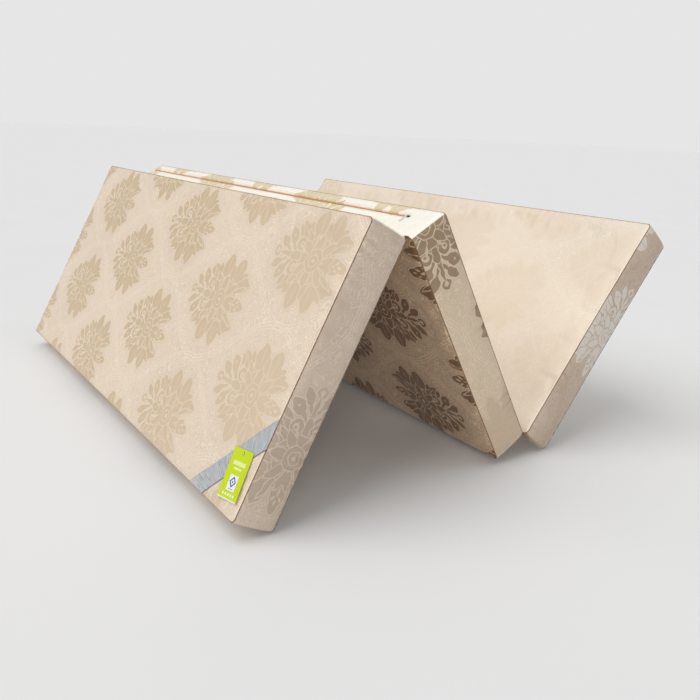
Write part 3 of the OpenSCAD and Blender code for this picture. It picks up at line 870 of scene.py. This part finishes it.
# How each kind of face cuts the cloth. Each face's colour set, contrast and fade carry painted light, shade
# and sheen.
KINDS = "face", "under", "near", "far", "zip_end", "plain_end"
CUTS = {
    "head": (
        ((Y, 1, -0.540), (X, 1, 0.120), HEAD_FACE, {"fade": (Y, -0.10, 0.75, 0.55), "lip": SIDE_SEAM}),
        ((Y, -1, -0.330), (X, 1, 0.245), PAINTED_SHADE_UNDER_FACE, {"ground_lines": 1.3}),
        ((X, 1, 0.490), (Z, 1, 0.036), SIDE_BAND, {"contrast": 0.9, "fade": (X, 0.38, 0.30, 0.15)}),
        ((X, -1, 0.210), (Z, 1, 0.060), SIDE_BAND, {"contrast": 0.7}),
        ((Y, 1, -0.540), (Z, 1, -0.060), PAINTED_LIT_END_BAND, {}),
        ((Y, 1, -0.240), (Z, 1, 0.100), PAINTED_SHADE_PLAIN_END, {}),
    ),
    "middle": (
        ((Y, -1, -0.540), (X, 1, 0.150), HEAD_FACE, {"lip": SIDE_SEAM}),
        ((Y, 1, -0.580), (X, 1, 0.245), PAINTED_SHADE_UNDER_FACE, {"ground_lines": 1.3}),
        ((X, -1, 0.010), (Z, 1, 0.040), MIDDLE_SIDE, {"fade": (X, 0.34, 0.42, 0.2)}),
        ((X, 1, 0.350), (Z, 1, 0.060), SIDE_BAND, {"contrast": 0.8}),
        ((Y, 1, -0.050), (Z, 1, 0.175), PAINTED_LIT_END_BAND, {"contrast": 0.8}),
        ((Y, 1, -0.340), (Z, 1, 0.040), PAINTED_SHADE_PLAIN_END, {}),
    ),
    "foot": (
        ((Y, 1, -0.430), (X, 1, 0.150), PAINTED_LIT_FACE, {"fade": (Y, -0.78, -0.50, 0.3), "lip": SIDE_SEAM}),
        ((Y, -1, -0.330), (X, 1, 0.245), HEAD_FACE, {}),
        ((X, 1, 0.310), (Z, 1, 0.030), FOOT_SIDE, {"fade": (X, 0.47, 0.50, 0.1)}),
        ((X, -1, 0.210), (Z, 1, 0.060), SIDE_BAND, {"contrast": 0.8}),
        ((Y, 1, -0.430), (Z, 1, 0.175), PAINTED_LIT_END_BAND, {}),
        ((Y, 1, -0.120), (Z, 1, 0.020), PAINTED_SHADE_PLAIN_END, {}),
    ),
}
FACES = {name: [damask(f"{name}_{kind}_damask", *cut[:3], **cut[3]) for kind, cut in zip(KINDS, CUTS[name])]
         for name in PANELS}


def paint_pad(pad, obj):
    """Gives each face of the pad its own cut of the cloth, in KINDS' order. near is the side facing -Y."""
    for material in FACES[pad.panel.name]:
        obj.data.materials.append(material)
    p = pad.panel
    quad = pad.plain[pad.quads]
    flat = [np.ptp(quad[:, :, a], axis=1) < TINY for a in range(3)]
    x, y, z = (quad[:, :, a].mean(1) for a in range(3))
    near = -1 if p.axes.col[1].y > 0 else 1
    side, end = np.where(y * near > 0, 2, 3), np.where(x < p.length / 2, 4, 5)
    slot = np.where(flat[2] & (z > p.thick / 2), 0, np.where(flat[2], 1, np.where(flat[1], side, end)))
    obj.data.polygons.foreach_set("material_index", slot.astype(np.int32))
    obj.data.update()


# ---------------------------------------------------------------- pieces on each pad

STITCH_STEP = 7 * MM      # the binding is drawn in at this step
BINDING = oval(0.9 * MM, 1.1 * MM, 8)


def finer(path, out, times):
    """More points along a closed path, with the directions to match."""
    at = np.arange(len(path) * times) / times
    loop = np.arange(len(path) + 1)

    def between(values):
        whole = np.vstack([values, values[:1]])
        return np.stack([np.interp(at, loop, whole[:, a]) for a in range(3)], 1)

    return between(path), between(out)


def seam_cloth():
    """Binding that is close to the cloth's colour along the ends and dark brown along the sides. The light
    tan is its own colour; the dark brown along the sides is partly painted shade, for the shadow in the
    seam's groove.
    """
    g = Surface("seam_binding_shaded_sides")
    # painted shade: the binding turns dark brown near the side seams and stays tan towards the ends
    aside = g.ramp(g.abs(g.apart(g.place)[Y]), SIDE_SEAM - 0.022, SIDE_SEAM - 0.008)
    blot = g.noise(g.place, 260.0, 4.0, 0.65)
    light = g.mix(g.ramp(blot, 0.35, 0.65), linear(190, 162, 132), linear(168, 138, 108))
    dark = g.mix(g.ramp(blot, 0.35, 0.65), linear(108, 80, 60), linear(146, 114, 90))
    return g.finish({"Base Color": g.mix(aside, light, dark), "Roughness": g.ramp(blot, 0.3, 0.7, 0.6, 0.74),
                     "Sheen Weight": 0.1}, g.noise(g.place, 1500.0, 2.0), 0.6, 0.3 * MM)


SEAM_CLOTH = seam_cloth()


def seam_cord(pad, top):
    """The narrow brown binding that closes a seam. Its stitches draw it in at even steps."""
    path, out = finer(*pad.ring(top), 2)
    run = np.cumsum(np.linalg.norm(np.diff(path, axis=0, append=path[:1]), axis=1))
    run *= TURN * round(run[-1] / STITCH_STEP) / run[-1]
    size = 1 + 0.10 * np.cos(run) + 0.06 * waves(path, (0.02, 0.09), pad.seed + 300 + top, 10)
    points, faces = sweep(path + out * 0.15 * MM, out, BINDING, scale=size)
    name = f"{pad.panel.name}_{'top' if top else 'bottom'}"
    obj = add_mesh(f"{name}_seam_binding", points, faces, pad.panel.matrix)
    finish_piece(obj, pad.panel.body, SEAM_CLOTH, [f"{name}_binding"])


COIL_PITCH, COIL_AROUND = 2.4 * MM, 6
COIL_WIRE = oval(0.24 * MM, 0.26 * MM, 4)
ZIP_STOP = 3 * MM         # length of the closed piece at each end of the coil
TAPE_THICK, TAPE_BEHIND, TAPE_INNER = 0.7 * MM, 4.05 * MM, 2.5 * MM
STITCH_AWAY, STITCH_GAP = 8.6 * MM, 4.6 * MM      # from the zip's middle, and from stitch to stitch
# One stitch, humped and pointed at both ends: (along, out, across), each of about one
STITCH = np.array([(-1, 0, 0), (-0.7, 0, 1), (-0.7, 1, 0.4), (-0.7, 0, -1),
                   (0.7, 0, 1), (0.7, 1, 0.4), (0.7, 0, -1), (1, 0, 0)])
STITCH_SIZE = np.array([-0.5, 1.55, 0.42]) * MM
STITCH_FACES = [(0, 1, 2), (0, 2, 3), (0, 3, 1), (1, 4, 5, 2), (2, 5, 6, 3), (3, 6, 4, 1),
                (7, 5, 4), (7, 6, 5), (7, 4, 6)]


def dress_zip(pad):
    """Coil, tapes and stitching of one zip. The slider and its pull stay CAD nodes."""
    p, name = pad.panel, pad.panel.name
    (y0, y1), z = pad.zip_y, pad.zip_z
    # two rows of coil that lie in each other, and a closed stop at each end
    turns = int((y1 - y0 - 2 * ZIP_STOP) / COIL_PITCH)
    coil = Solids()
    for hand in (-1, 1):
        angle = np.arange(turns * COIL_AROUND + 1) / COIL_AROUND * TURN
        start = y0 + ZIP_STOP + (0.5 * COIL_PITCH if hand > 0 else 0)
        path = np.stack([4.4 * MM + 0.78 * MM * np.sin(angle),
                         start + angle / TURN * COIL_PITCH * (turns - 1) / turns,
                         z + hand * (1.25 * MM - 0.85 * MM * np.cos(angle))], 1)
        out = np.stack([np.sin(angle), np.zeros_like(angle), -hand * np.cos(angle)], 1)
        coil.add(*sweep(path, out, COIL_WIRE, closed=False))
    for y in (y0, y1 - ZIP_STOP):
        coil.add(*box_grid([3.5 * MM, 4.4 * MM, 5.3 * MM], [y, y + ZIP_STOP / 2, y + ZIP_STOP],
                           [z - 2.3 * MM, z, z + 2.3 * MM])[:2])
    obj = add_mesh(f"{name}_zip_coil", coil.points, coil.faces, p.matrix)
    finish_piece(obj, p.body, ZIP_COIL, [f"{name}_zip_chain"])
    # woven tapes behind the folded edges
    tapes = Solids()
    tape_half = float(p.span(f"{name}_zip_tapes")[1][2] - z)
    for hand in (-1, 1):
        edge = sorted([z + hand * TAPE_INNER, z + hand * tape_half])
        block, quads, _ = box_grid([0, TAPE_THICK], np.linspace(y0, y1, 150), np.linspace(*edge, 7))
        uneven = waves(block[:, 1:], (0.012, 0.05), pad.seed + 400 + hand, 10)
        block[:, 0] += TAPE_BEHIND + 0.12 * MM * uneven
        tapes.add(block, quads)
    obj = add_mesh(f"{name}_zip_tape_pair", tapes.points, tapes.faces, p.matrix)
    finish_piece(obj, p.body, ZIP_TAPE, [f"{name}_zip_tapes"])
    # a row of stitches each side of the slot
    tree = pad.surface()
    stitches = Solids()
    for hand in (-1, 1):
        for y in np.arange(y0 + 4 * MM, y1 - 8 * MM, STITCH_GAP):
            at = z + hand * STITCH_AWAY
            hit = tree.ray_cast((-0.05, float(y), at), (1, 0, 0))[0]
            if hit is not None:
                here = np.array([hit.x + 0.12 * MM, y, at]) + STITCH[:, [1, 0, 2]] * STITCH_SIZE
                stitches.add(here, STITCH_FACES)
    obj = add_mesh(f"{name}_zip_stitching", stitches.points, stitches.faces, p.matrix)
    finish_piece(obj, p.body, THREAD)
    dress_node(f"{name}_zip_slider", SLIDER_METAL, 0.16 * MM)
    dress_node(f"{name}_zip_pull", PULL_METAL, 0.16 * MM)


FILL_INSET, FILL_STEP = 10 * MM, 22 * MM
WADDING_OUTER, WADDING_INNER = 1.6 * MM, 0.6 * MM      # left clear outside and inside each layer of wadding


def fill_pad(pad):
    """Core and wadding inside the pad, clear of its cloth."""
    p, name = pad.panel, pad.panel.name

    def layer(label, z0, z1, radius, ripple, seed):
        return soft_block(f"{name}_{label}", (FILL_INSET, -p.half + FILL_INSET, z0),
                          (p.length - FILL_INSET, p.half - FILL_INSET, z1),
                          radius, FILL_STEP, p.matrix, ripple, pad.seed + seed)

    low, high = p.span(f"{name}_core")
    obj = layer("fibre_core", low[2], high[2], 4 * MM, 0.5 * MM, 500)
    finish_piece(obj, p.body, CORE_FIBRE, [f"{name}_core"])
    for label, under, over in (("top", WADDING_INNER, WADDING_OUTER),
                               ("bottom", WADDING_OUTER, WADDING_INNER)):
        low, high = p.span(f"{name}_{label}_wadding")
        obj = layer(f"{label}_wadding_layer", low[2] + under, high[2] - over, 2.8 * MM, 0.3 * MM, 510)
        finish_piece(obj, p.body, WADDING_WHITE, [f"{name}_{label}_wadding"])


PAD_PARTS = ("top_cover", "bottom_cover", "near_side_band", "far_side_band", "plain_end_band",
             "zip_band_upper", "zip_band_lower")
for pad in pads.values():
    name = pad.panel.name
    obj = add_mesh(f"{name}_pad", pad.points, pad.quads, pad.panel.matrix)
    paint_pad(pad, obj)
    parts = [f"{name}_{part}" for part in PAD_PARTS]
    finish_piece(obj, pad.panel.body, None, parts)
    for top in (True, False):
        seam_cord(pad, top)
    dress_zip(pad)
    fill_pad(pad)

# ---------------------------------------------------------------- folds

WEB_THICK = 1.4 * MM
WEB_SHORT = 15 * MM       # how far the web ends inside each side seam
TACK_OUT, TACK_IN = 9 * MM, 3 * MM
TAPE_AT_ZIP, TAPE_AT_PLAIN = 5.2 * MM, 5.9 * MM     # where the fold's tapes lie, inward from the panel's end
WEB_CLOTH = plain_cloth("fold_web_cloth", linear(214, 192, 166), linear(186, 162, 136), 220, 0.7, 0.25,
                        rib=(X, 1.2 * MM))


def fold_web(fold, other, top, end):
    """Cloth strip that joins two panels along a fold, through the fold's own axis."""
    edges = []
    for name in ("middle", other):
        pad = pads[name]
        row = pad.panel.world(pad.points[pad.number[end, :, -1 if top else 0]])
        edges.append(row[np.argsort(row[:, 1])])
    axis = np.array(JOINTS[fold]["pos_m"])
    half = pads["middle"].panel.half - WEB_SHORT
    ys = np.linspace(-half, half, 260)
    bulge = 0.25 * MM * waves(ys[:, None], (0.015, 0.06), 901 + len(other), 14)
    share = np.array([-0.06, 0.2, 0.45, 0.7, 0.9, 1.0])    # of the way from a seam to the axis

    def seam_at(edge, y):
        return np.array([np.interp(y, edge[:, 1], edge[:, 0]), y, np.interp(y, edge[:, 1], edge[:, 2])])

    rings = []
    for y, puff in zip(ys, bulge):
        a, b = (seam_at(edge, y) for edge in edges)
        hub = np.array([axis[0], y, axis[2]])
        line = np.array([a + (hub - a) * s for s in share] + [b + (hub - b) * s for s in share[-2::-1]])
        for _ in range(2):
            line[1:-1] = (line[:-2] + 2 * line[1:-1] + line[2:]) / 4
        ahead = np.gradient(line, axis=0)
        normal = np.stack([ahead[:, 2], np.zeros(len(line)), -ahead[:, 0]], 1)
        normal /= np.linalg.norm(normal, axis=1, keepdims=True)
        line = line + normal * puff * np.sin(np.linspace(0, math.pi, len(line)))[:, None]
        off = normal * WEB_THICK / 2
        rings.append(np.concatenate([line + off, (line - off)[::-1]]))
    rings = np.array(rings)
    obj = add_mesh(f"{fold}_web", rings.reshape(-1, 3), tube_faces(*rings.shape[:2], closed=False))
    straighten(obj)
    obj.data.materials.append(WEB_CLOTH)
    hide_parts(f"{fold}_seam")
    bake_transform(obj)
    # bar tacks at both ends of the fold, wound round its axis
    for label, y0, y1 in (("near", -half - TACK_OUT, -half + TACK_IN),
                          ("far", half - TACK_IN, half + TACK_OUT)):
        size = 1 + 0.13 * np.sin(np.arange(40) * 2.1) - 0.45 * np.abs(np.linspace(-1, 1, 40)) ** 6
        path = np.stack([np.full(40, axis[0]), np.linspace(y0, y1, 40), np.full(40, axis[2])], 1)
        tack = add_mesh(f"{fold}_{label}_tack", *sweep(path, UP, oval(2.5 * MM, 2.5 * MM, 12), False, size))
        straighten(tack)
        finish_piece(tack, "middle_panel", SEAM_BROWN)
    # reinforcing tapes inside both panels
    for name in ("middle", other):
        p = panels[name]
        low, high = p.span(f"{fold}_{name}_tape")
        x0 = TAPE_AT_ZIP if end == 0 else p.length - TAPE_AT_PLAIN
        tape = soft_block(f"{fold}_{name}_tape_cloth", (x0, low[1], low[2]),
                          (x0 + TAPE_THICK, high[1], high[2]), 0.3 * MM, 8 * MM, p.matrix)
        finish_piece(tape, p.body, FOLD_TAPE, [f"{fold}_{name}_tape"])


for fold, (other, top, end) in FOLDS.items():
    fold_web(fold, other, top, end)

# ---------------------------------------------------------------- ribbon

RIBBON_ACROSS, RIBBON_ALONG, RIBBON_TRIES = 26, 150, 500
RIBBON_LOW, RIBBON_THICK = 0.05 * MM, 0.7 * MM
RIBBON_FALL = 4.5 * MM    # the ribbon ends where the pad falls this far below its top
RIB_HEIGHT, RIB_TURNS = 0.38 * MM, 250
HEM_DROP = 0.3 * MM
HEM_THREAD = linear(84, 92, 106), linear(110, 118, 130)


def satin():
    """Ribbed satin with a soft sheen. Its UV runs along and across the ribbon, with a dark edge across."""
    g = Surface("ribbon_satin", "UV")
    along, across = g.apart(g.place)[:2]
    moire = g.noise(g.vec("MULTIPLY", g.place, (34.0, 2.0, 1.0)), 1.0, 2.0, 0.5)
    ribs = g.math("SINE", g.add(g.mul(along, 250.0), g.mul(moire, 4.0)))
    colour = g.mix(g.ramp(moire, 0.3, 0.7), linear(158, 164, 170), linear(186, 190, 194))
    # painted highlight: the rib crests are coloured lighter, following the rib bump
    colour = g.mix(g.ramp(ribs, 0.0, 1.0, 0.0, 0.5), colour, linear(216, 219, 222))
    colour = g.mix(g.ramp(across, 0.93, 0.99, 0.0, 0.8), colour, linear(96, 108, 124))
    return g.finish({"Base Color": colour, "Roughness": g.ramp(moire, 0.3, 0.7, 0.26, 0.42), "Metallic": 0.15,
                     "Anisotropic": 0.5, "Sheen Weight": 0.3}, ribs, 0.35, 0.25 * MM)


def corner_ribbon():
    """The ribbon laid over the head pad's corner, with its slanting ends caught in the seams."""
    pad, p = pads["head"], panels["head"]
    tree = pad.surface()
    corners = np.unique(np.round(p.points("corner_ribbon")[:, :2], 6), axis=0)
    side = sorted((c for c in corners if p.half - c[1] < 1 * MM), key=lambda c: c[0])
    ends = sorted((c for c in corners if p.length - c[0] < 1 * MM), key=lambda c: c[1])
    outer, inner = (side[0], ends[0]), (side[1], ends[1])

    def height(x, y):
        hit = tree.ray_cast((float(x), float(y), p.thick + 0.05), (0, 0, -1))[0]
        return None if hit is None or hit.z < p.thick - RIBBON_FALL else hit.z

    rows = []
    for t in np.linspace(0, 1, RIBBON_ACROSS):
        a, b = outer[0] * (1 - t) + inner[0] * t, outer[1] * (1 - t) + inner[1] * t
        good = [q for q in np.linspace(0, 1, RIBBON_TRIES) if height(*(a * (1 - q) + b * q)) is not None]
        rows.append([a * (1 - q) + b * q for q in np.linspace(good[0], good[-1], RIBBON_ALONG)])
    rows = np.array(rows)
    z = np.array([[height(x, y) for x, y in row] for row in rows], float)
    for _ in range(3):
        z[:, 1:-1] = np.maximum(z[:, 1:-1], (z[:, :-2] + z[:, 2:]) / 2)
    drift = 2 * waves(np.linspace(0, 1, RIBBON_ACROSS)[:, None], (0.3, 0.9), 77, 6)[:, None]
    rib = RIB_HEIGHT * np.sin(np.linspace(0, 1, RIBBON_ALONG)[None] * RIB_TURNS + drift)
    crease = 0.25 * MM * waves(rows.reshape(-1, 2), (0.03, 0.09), 78, 12).reshape(RIBBON_ACROSS, RIBBON_ALONG)
    lift = np.clip(crease, -0.1 * MM, 1) + rib
    top = np.dstack([rows, z + RIBBON_LOW + RIBBON_THICK + lift])
    under = np.dstack([rows, z + RIBBON_LOW])
    n = RIBBON_ACROSS * RIBBON_ALONG
    index = np.arange(n).reshape(RIBBON_ACROSS, RIBBON_ALONG)
    quads, edge = sheet_quads(index), rim(index)
    ahead = np.roll(edge, -1)
    walls = np.stack([edge, ahead, ahead + n, edge + n], 1)
    ribbon = add_mesh("corner_ribbon_satin", np.concatenate([top.reshape(-1, 3), under.reshape(-1, 3)]),
                      np.concatenate([quads, quads[:, ::-1] + n, walls]), p.matrix)
    straighten(ribbon)
    uv = ribbon.data.uv_layers.new(name="along")
    cell = np.zeros(len(ribbon.data.loops), np.int32)
    ribbon.data.loops.foreach_get("vertex_index", cell)
    cell %= n
    places = [(cell % RIBBON_ALONG) / (RIBBON_ALONG - 1), (cell // RIBBON_ALONG) / (RIBBON_ACROSS - 1)]
    uv.data.foreach_set("uv", np.stack(places, 1).astype(np.float32).ravel())
    finish_piece(ribbon, p.body, satin(), ["corner_ribbon"])
    # the strip's four corners, which nothing below uses, and a hem thread along its inner edge; the strip has
    # slanting ends
    a, b, c, d = rows[0, 0], rows[0, -1], rows[-1, -1], rows[-1, 0]
    made, faces = sweep(top[-1] - [0, 0, HEM_DROP], UP, oval(0.4 * MM, 0.7 * MM, 6), False)
    hem = add_mesh("corner_ribbon_hem", made, faces, p.matrix)
    straighten(hem)
    finish_piece(hem, p.body, plain_cloth("hem_thread", *HEM_THREAD, 600, 0.6))


# ---------------------------------------------------------------- tag

CARD_THICK, STICKER_THICK = 0.45 * MM, 0.14 * MM
STICKER_UP = 0.47 * MM    # just clear of the card's face
# The card's height at the pin, and how far its free end and its sides rise above that
CARD_LOW, CARD_CURL, CARD_CUP = 1.25 * MM, 3.2 * MM, 1.0 * MM
DOT_STEP, DOTS_AT, DOTS = 9.5, 86.0, 5


def slab(name, low, high, radius, heights, thick, matrix, steps=(40, 30)):
    """A thin card with round corners that follows a curved height."""
    ends = radius * np.array([0.25, 0.5, 0.75, 1])
    xs, ys = (np.unique(np.concatenate([np.linspace(a, b, count), a + ends, b - ends]))
              for a, b, count in zip(low, high, steps))
    points, quads, _ = box_grid(xs, ys, [0.0, thick])
    mid, half = (low + high) / 2, (high - low) / 2
    d = half - np.abs(points[:, :2] - mid)
    d = np.stack(round_corners(d[:, 0], d[:, 1], radius), 1)
    points[:, :2] = mid + np.where(points[:, :2] < mid, -1, 1) * (half - d)
    points[:, 2] += heights(points[:, 0], points[:, 1])
    return add_mesh(name, points, quads, matrix)


def printed(name, paper, inks, roughness, coat):
    """Printed card. inks holds colours, each with the function that draws its mask from x and y in mm."""
    g = Surface(name)
    parts = g.apart(g.place)
    x, y = g.mul(parts[X], 1000.0), g.mul(parts[Y], 1000.0)
    fibre = g.noise(g.place, 500.0, 3.0, 0.6)
    colour = g.mix(g.ramp(fibre, 0.3, 0.7), scaled(paper, 0.94), paper)
    for ink, mask in inks:
        colour = g.mix(mask(g, x, y), colour, ink)
    rough = g.ramp(fibre, 0.3, 0.7, roughness - 0.06, roughness + 0.06)
    return g.finish({"Base Color": colour, "Roughness": rough, "Coat Weight": coat}, fibre, 0.2, 0.06 * MM)


def block(g, x, y, at, x_edges, y_edges):
    """A plain rectangle with its middle at x = at. Its edges are where it ends and where it is full."""
    return g.mul(g.ramp(g.abs(g.sub(x, at)), *x_edges), g.ramp(g.abs(y), *y_edges))


def bars(g, x, y):
    """A plain pale bar with a shorter one under it."""
    wide = block(g, x, y, 22.0, (4.6, 3.8), (23.0, 21.5))
    short = block(g, x, y, 33.0, (1.9, 1.3), (15.0, 13.5))
    return g.math("MAXIMUM", g.mul(wide, 0.75), short)


def dots(g, x, y):
    """A row of dots near the foot of the tag."""
    row = g.sub(g.math("PINGPONG", g.add(y, DOT_STEP / 2), DOT_STEP / 2), DOT_STEP / 2)
    across = g.math("POWER", g.abs(row), 2.0)
    along = g.math("POWER", g.abs(g.sub(x, DOTS_AT)), 2.0)
    away = g.math("SQRT", g.add(across, along))
    return g.mul(g.ramp(away, 3.2, 2.4), g.math("LESS_THAN", g.abs(y), DOTS / 2 * DOT_STEP))


def foot_edge(g, x, y):
    """A pale strip along the tag's free end."""
    return g.ramp(x, 94.0, 94.6)


def diamond(g, x, y):
    """An outlined diamond with a dot in it."""
    reach = g.add(g.abs(g.sub(x, 60.0)), g.abs(y))
    outline = g.mul(g.ramp(reach, 12.4, 11.8), g.ramp(reach, 7.0, 7.6))
    return g.math("MAXIMUM", outline, g.ramp(reach, 3.4, 2.8))


def lower_rule(g, x, y):
    """A short rule under the diamond."""
    return block(g, x, y, 74.5, (1.0, 0.6), (9.0, 8.4))


def swing_tag():
    """Card, sticker and eyelet, in a frame at the pin with x towards the card's free end."""
    p = panels["head"]
    pin = p.middle("tag_pin")
    way = p.middle("swing_tag")[:2] - pin[:2]
    way /= np.linalg.norm(way)
    turn = Matrix.Rotation(math.atan2(way[1], way[0]), 4, "Z")
    matrix = p.matrix @ Matrix.Translation((pin[0], pin[1], p.thick)) @ turn

    def extent(node):
        own = (p.points(node)[:, :2] - pin[:2]) @ np.array([[way[0], -way[1]], [way[1], way[0]]])
        return own.min(0), own.max(0)

    low, high = extent("swing_tag")

    def bow(x, y):
        """The card curls up off the ribbon at its sides and towards its free end."""
        curl = CARD_CURL * np.clip(x / high[0], 0, 1) ** 1.3
        return CARD_LOW + curl + CARD_CUP * np.abs(y / high[1]) ** 1.5

    inks = [(linear(240, 246, 200), bars), (linear(246, 248, 240), dots), (linear(248, 248, 244), foot_edge)]
    green = printed("tag_card_green", linear(204, 226, 8), inks, 0.38, 0.15)
    card = slab("swing_tag_card", low, high, 3 * MM, bow, CARD_THICK, matrix)
    finish_piece(card, "swing_tag", green, ["swing_tag"])
    inks = [(linear(84, 84, 190), diamond), (linear(150, 150, 214), lower_rule)]
    paper = printed("sticker_paper", linear(244, 244, 248), inks, 0.42, 0.1)
    sticker = slab("tag_sticker_paper", *extent("tag_sticker"), 1 * MM,
                   lambda x, y: bow(x, y) + STICKER_UP, STICKER_THICK, matrix, (14, 14))
    finish_piece(sticker, "swing_tag", paper, ["tag_sticker"])
    path = np.pad(oval(3.1 * MM, 3.1 * MM, 32), ((0, 0), (0, 1)), constant_values=1.75 * MM)
    ring = add_mesh("swing_tag_eyelet", *sweep(path, UP, oval(0.3 * MM, 0.45 * MM, 8)), matrix)
    straighten(ring)
    finish_piece(ring, "swing_tag", SLIDER_METAL)
    dress_node("tag_pin", PIN_PLASTIC, 0.15 * MM)


corner_ribbon()
swing_tag()

# ---------------------------------------------------------------- camera, light and floor

# Fitted to the photograph
CAMERA_AT = (-1.2277, -1.9598, 0.7949)
HEADING, DOWN, ROLL = (math.radians(d) for d in (35.632, 16.615, 2.492))
LENS, SENSOR = 37.92, 36.0

scene = bpy.context.scene
camera = bpy.data.objects.new("camera", bpy.data.cameras.new("camera"))
camera.data.lens, camera.data.sensor_width = LENS, SENSOR
camera.data.clip_start, camera.data.clip_end = 0.05, 200
look = Vector((math.sin(HEADING) * math.cos(DOWN), math.cos(HEADING) * math.cos(DOWN), -math.sin(DOWN)))
right = Vector((math.cos(HEADING), -math.sin(HEADING), 0))
up = right.cross(look)
right, up = right * math.cos(ROLL) + up * math.sin(ROLL), up * math.cos(ROLL) - right * math.sin(ROLL)
camera.matrix_world = Matrix.Translation(CAMERA_AT) @ Matrix((right, up, -look)).transposed().to_4x4()
scene.collection.objects.link(camera)
scene.camera = camera
scene.view_settings.view_transform = "Standard"

# The camera sees an even pale grey, and the surfaces a dimmer white
world = bpy.data.worlds.new("studio")
scene.world = world
world.use_nodes = True
tree = world.node_tree
tree.nodes.clear()
g = Graph(tree)
seen = g.node("Background", inputs={"Color": (*linear(230, 230, 230), 1), "Strength": 1.0})
fill = g.node("Background", inputs={"Color": (0.98, 0.99, 1.0, 1), "Strength": 0.20})
pick = tree.nodes.new("ShaderNodeMixShader")
for number, value in enumerate((g.node("LightPath", "Is Camera Ray"), fill, seen)):
    tree.links.new(value, pick.inputs[number])
out = tree.nodes.new("ShaderNodeOutputWorld")
tree.links.new(pick.outputs[0], out.inputs[0])


def sun_light(name, from_way, softness, power, colour):
    light = bpy.data.lights.new(name, "SUN")
    light.angle, light.energy, light.color = math.radians(softness), power, colour
    obj = bpy.data.objects.new(name, light)
    obj.rotation_mode = "QUATERNION"
    obj.rotation_quaternion = Vector(from_way).to_track_quat("Z", "Y")
    scene.collection.objects.link(obj)


sun_light("key", (-0.58, 0.14, 0.80), 58, 1.60, (1.0, 0.978, 0.95))
sun_light("top", (0.30, 0.1, 0.95), 80, 0.78, (1.0, 0.99, 0.97))
sun_light("front", (-0.50, -0.84, 0.20), 35, 1.05, (1.0, 0.975, 0.95))

FLOOR_HALF = 90
FLOOR_ALBEDO = (0.815, 0.825, 0.84)
FLOOR_GLOW = 0.03
square = FLOOR_HALF * np.array([(-1, -1, 0), (1, -1, 0), (1, 1, 0), (-1, 1, 0)])
floor = add_mesh("floor", square, [(0, 1, 2, 3)], smooth=False)
g = Surface("floor_paper")
tone = g.mix(g.ramp(g.noise(g.place, 2.0, 2.0), 0.3, 0.7), FLOOR_ALBEDO, scaled(FLOOR_ALBEDO, 1.01))
floor.data.materials.append(g.finish({"Base Color": tone, "Roughness": 0.95, "Specular IOR Level": 0.0,
                                      "Emission Color": (1, 1, 1, 1), "Emission Strength": FLOOR_GLOW}))
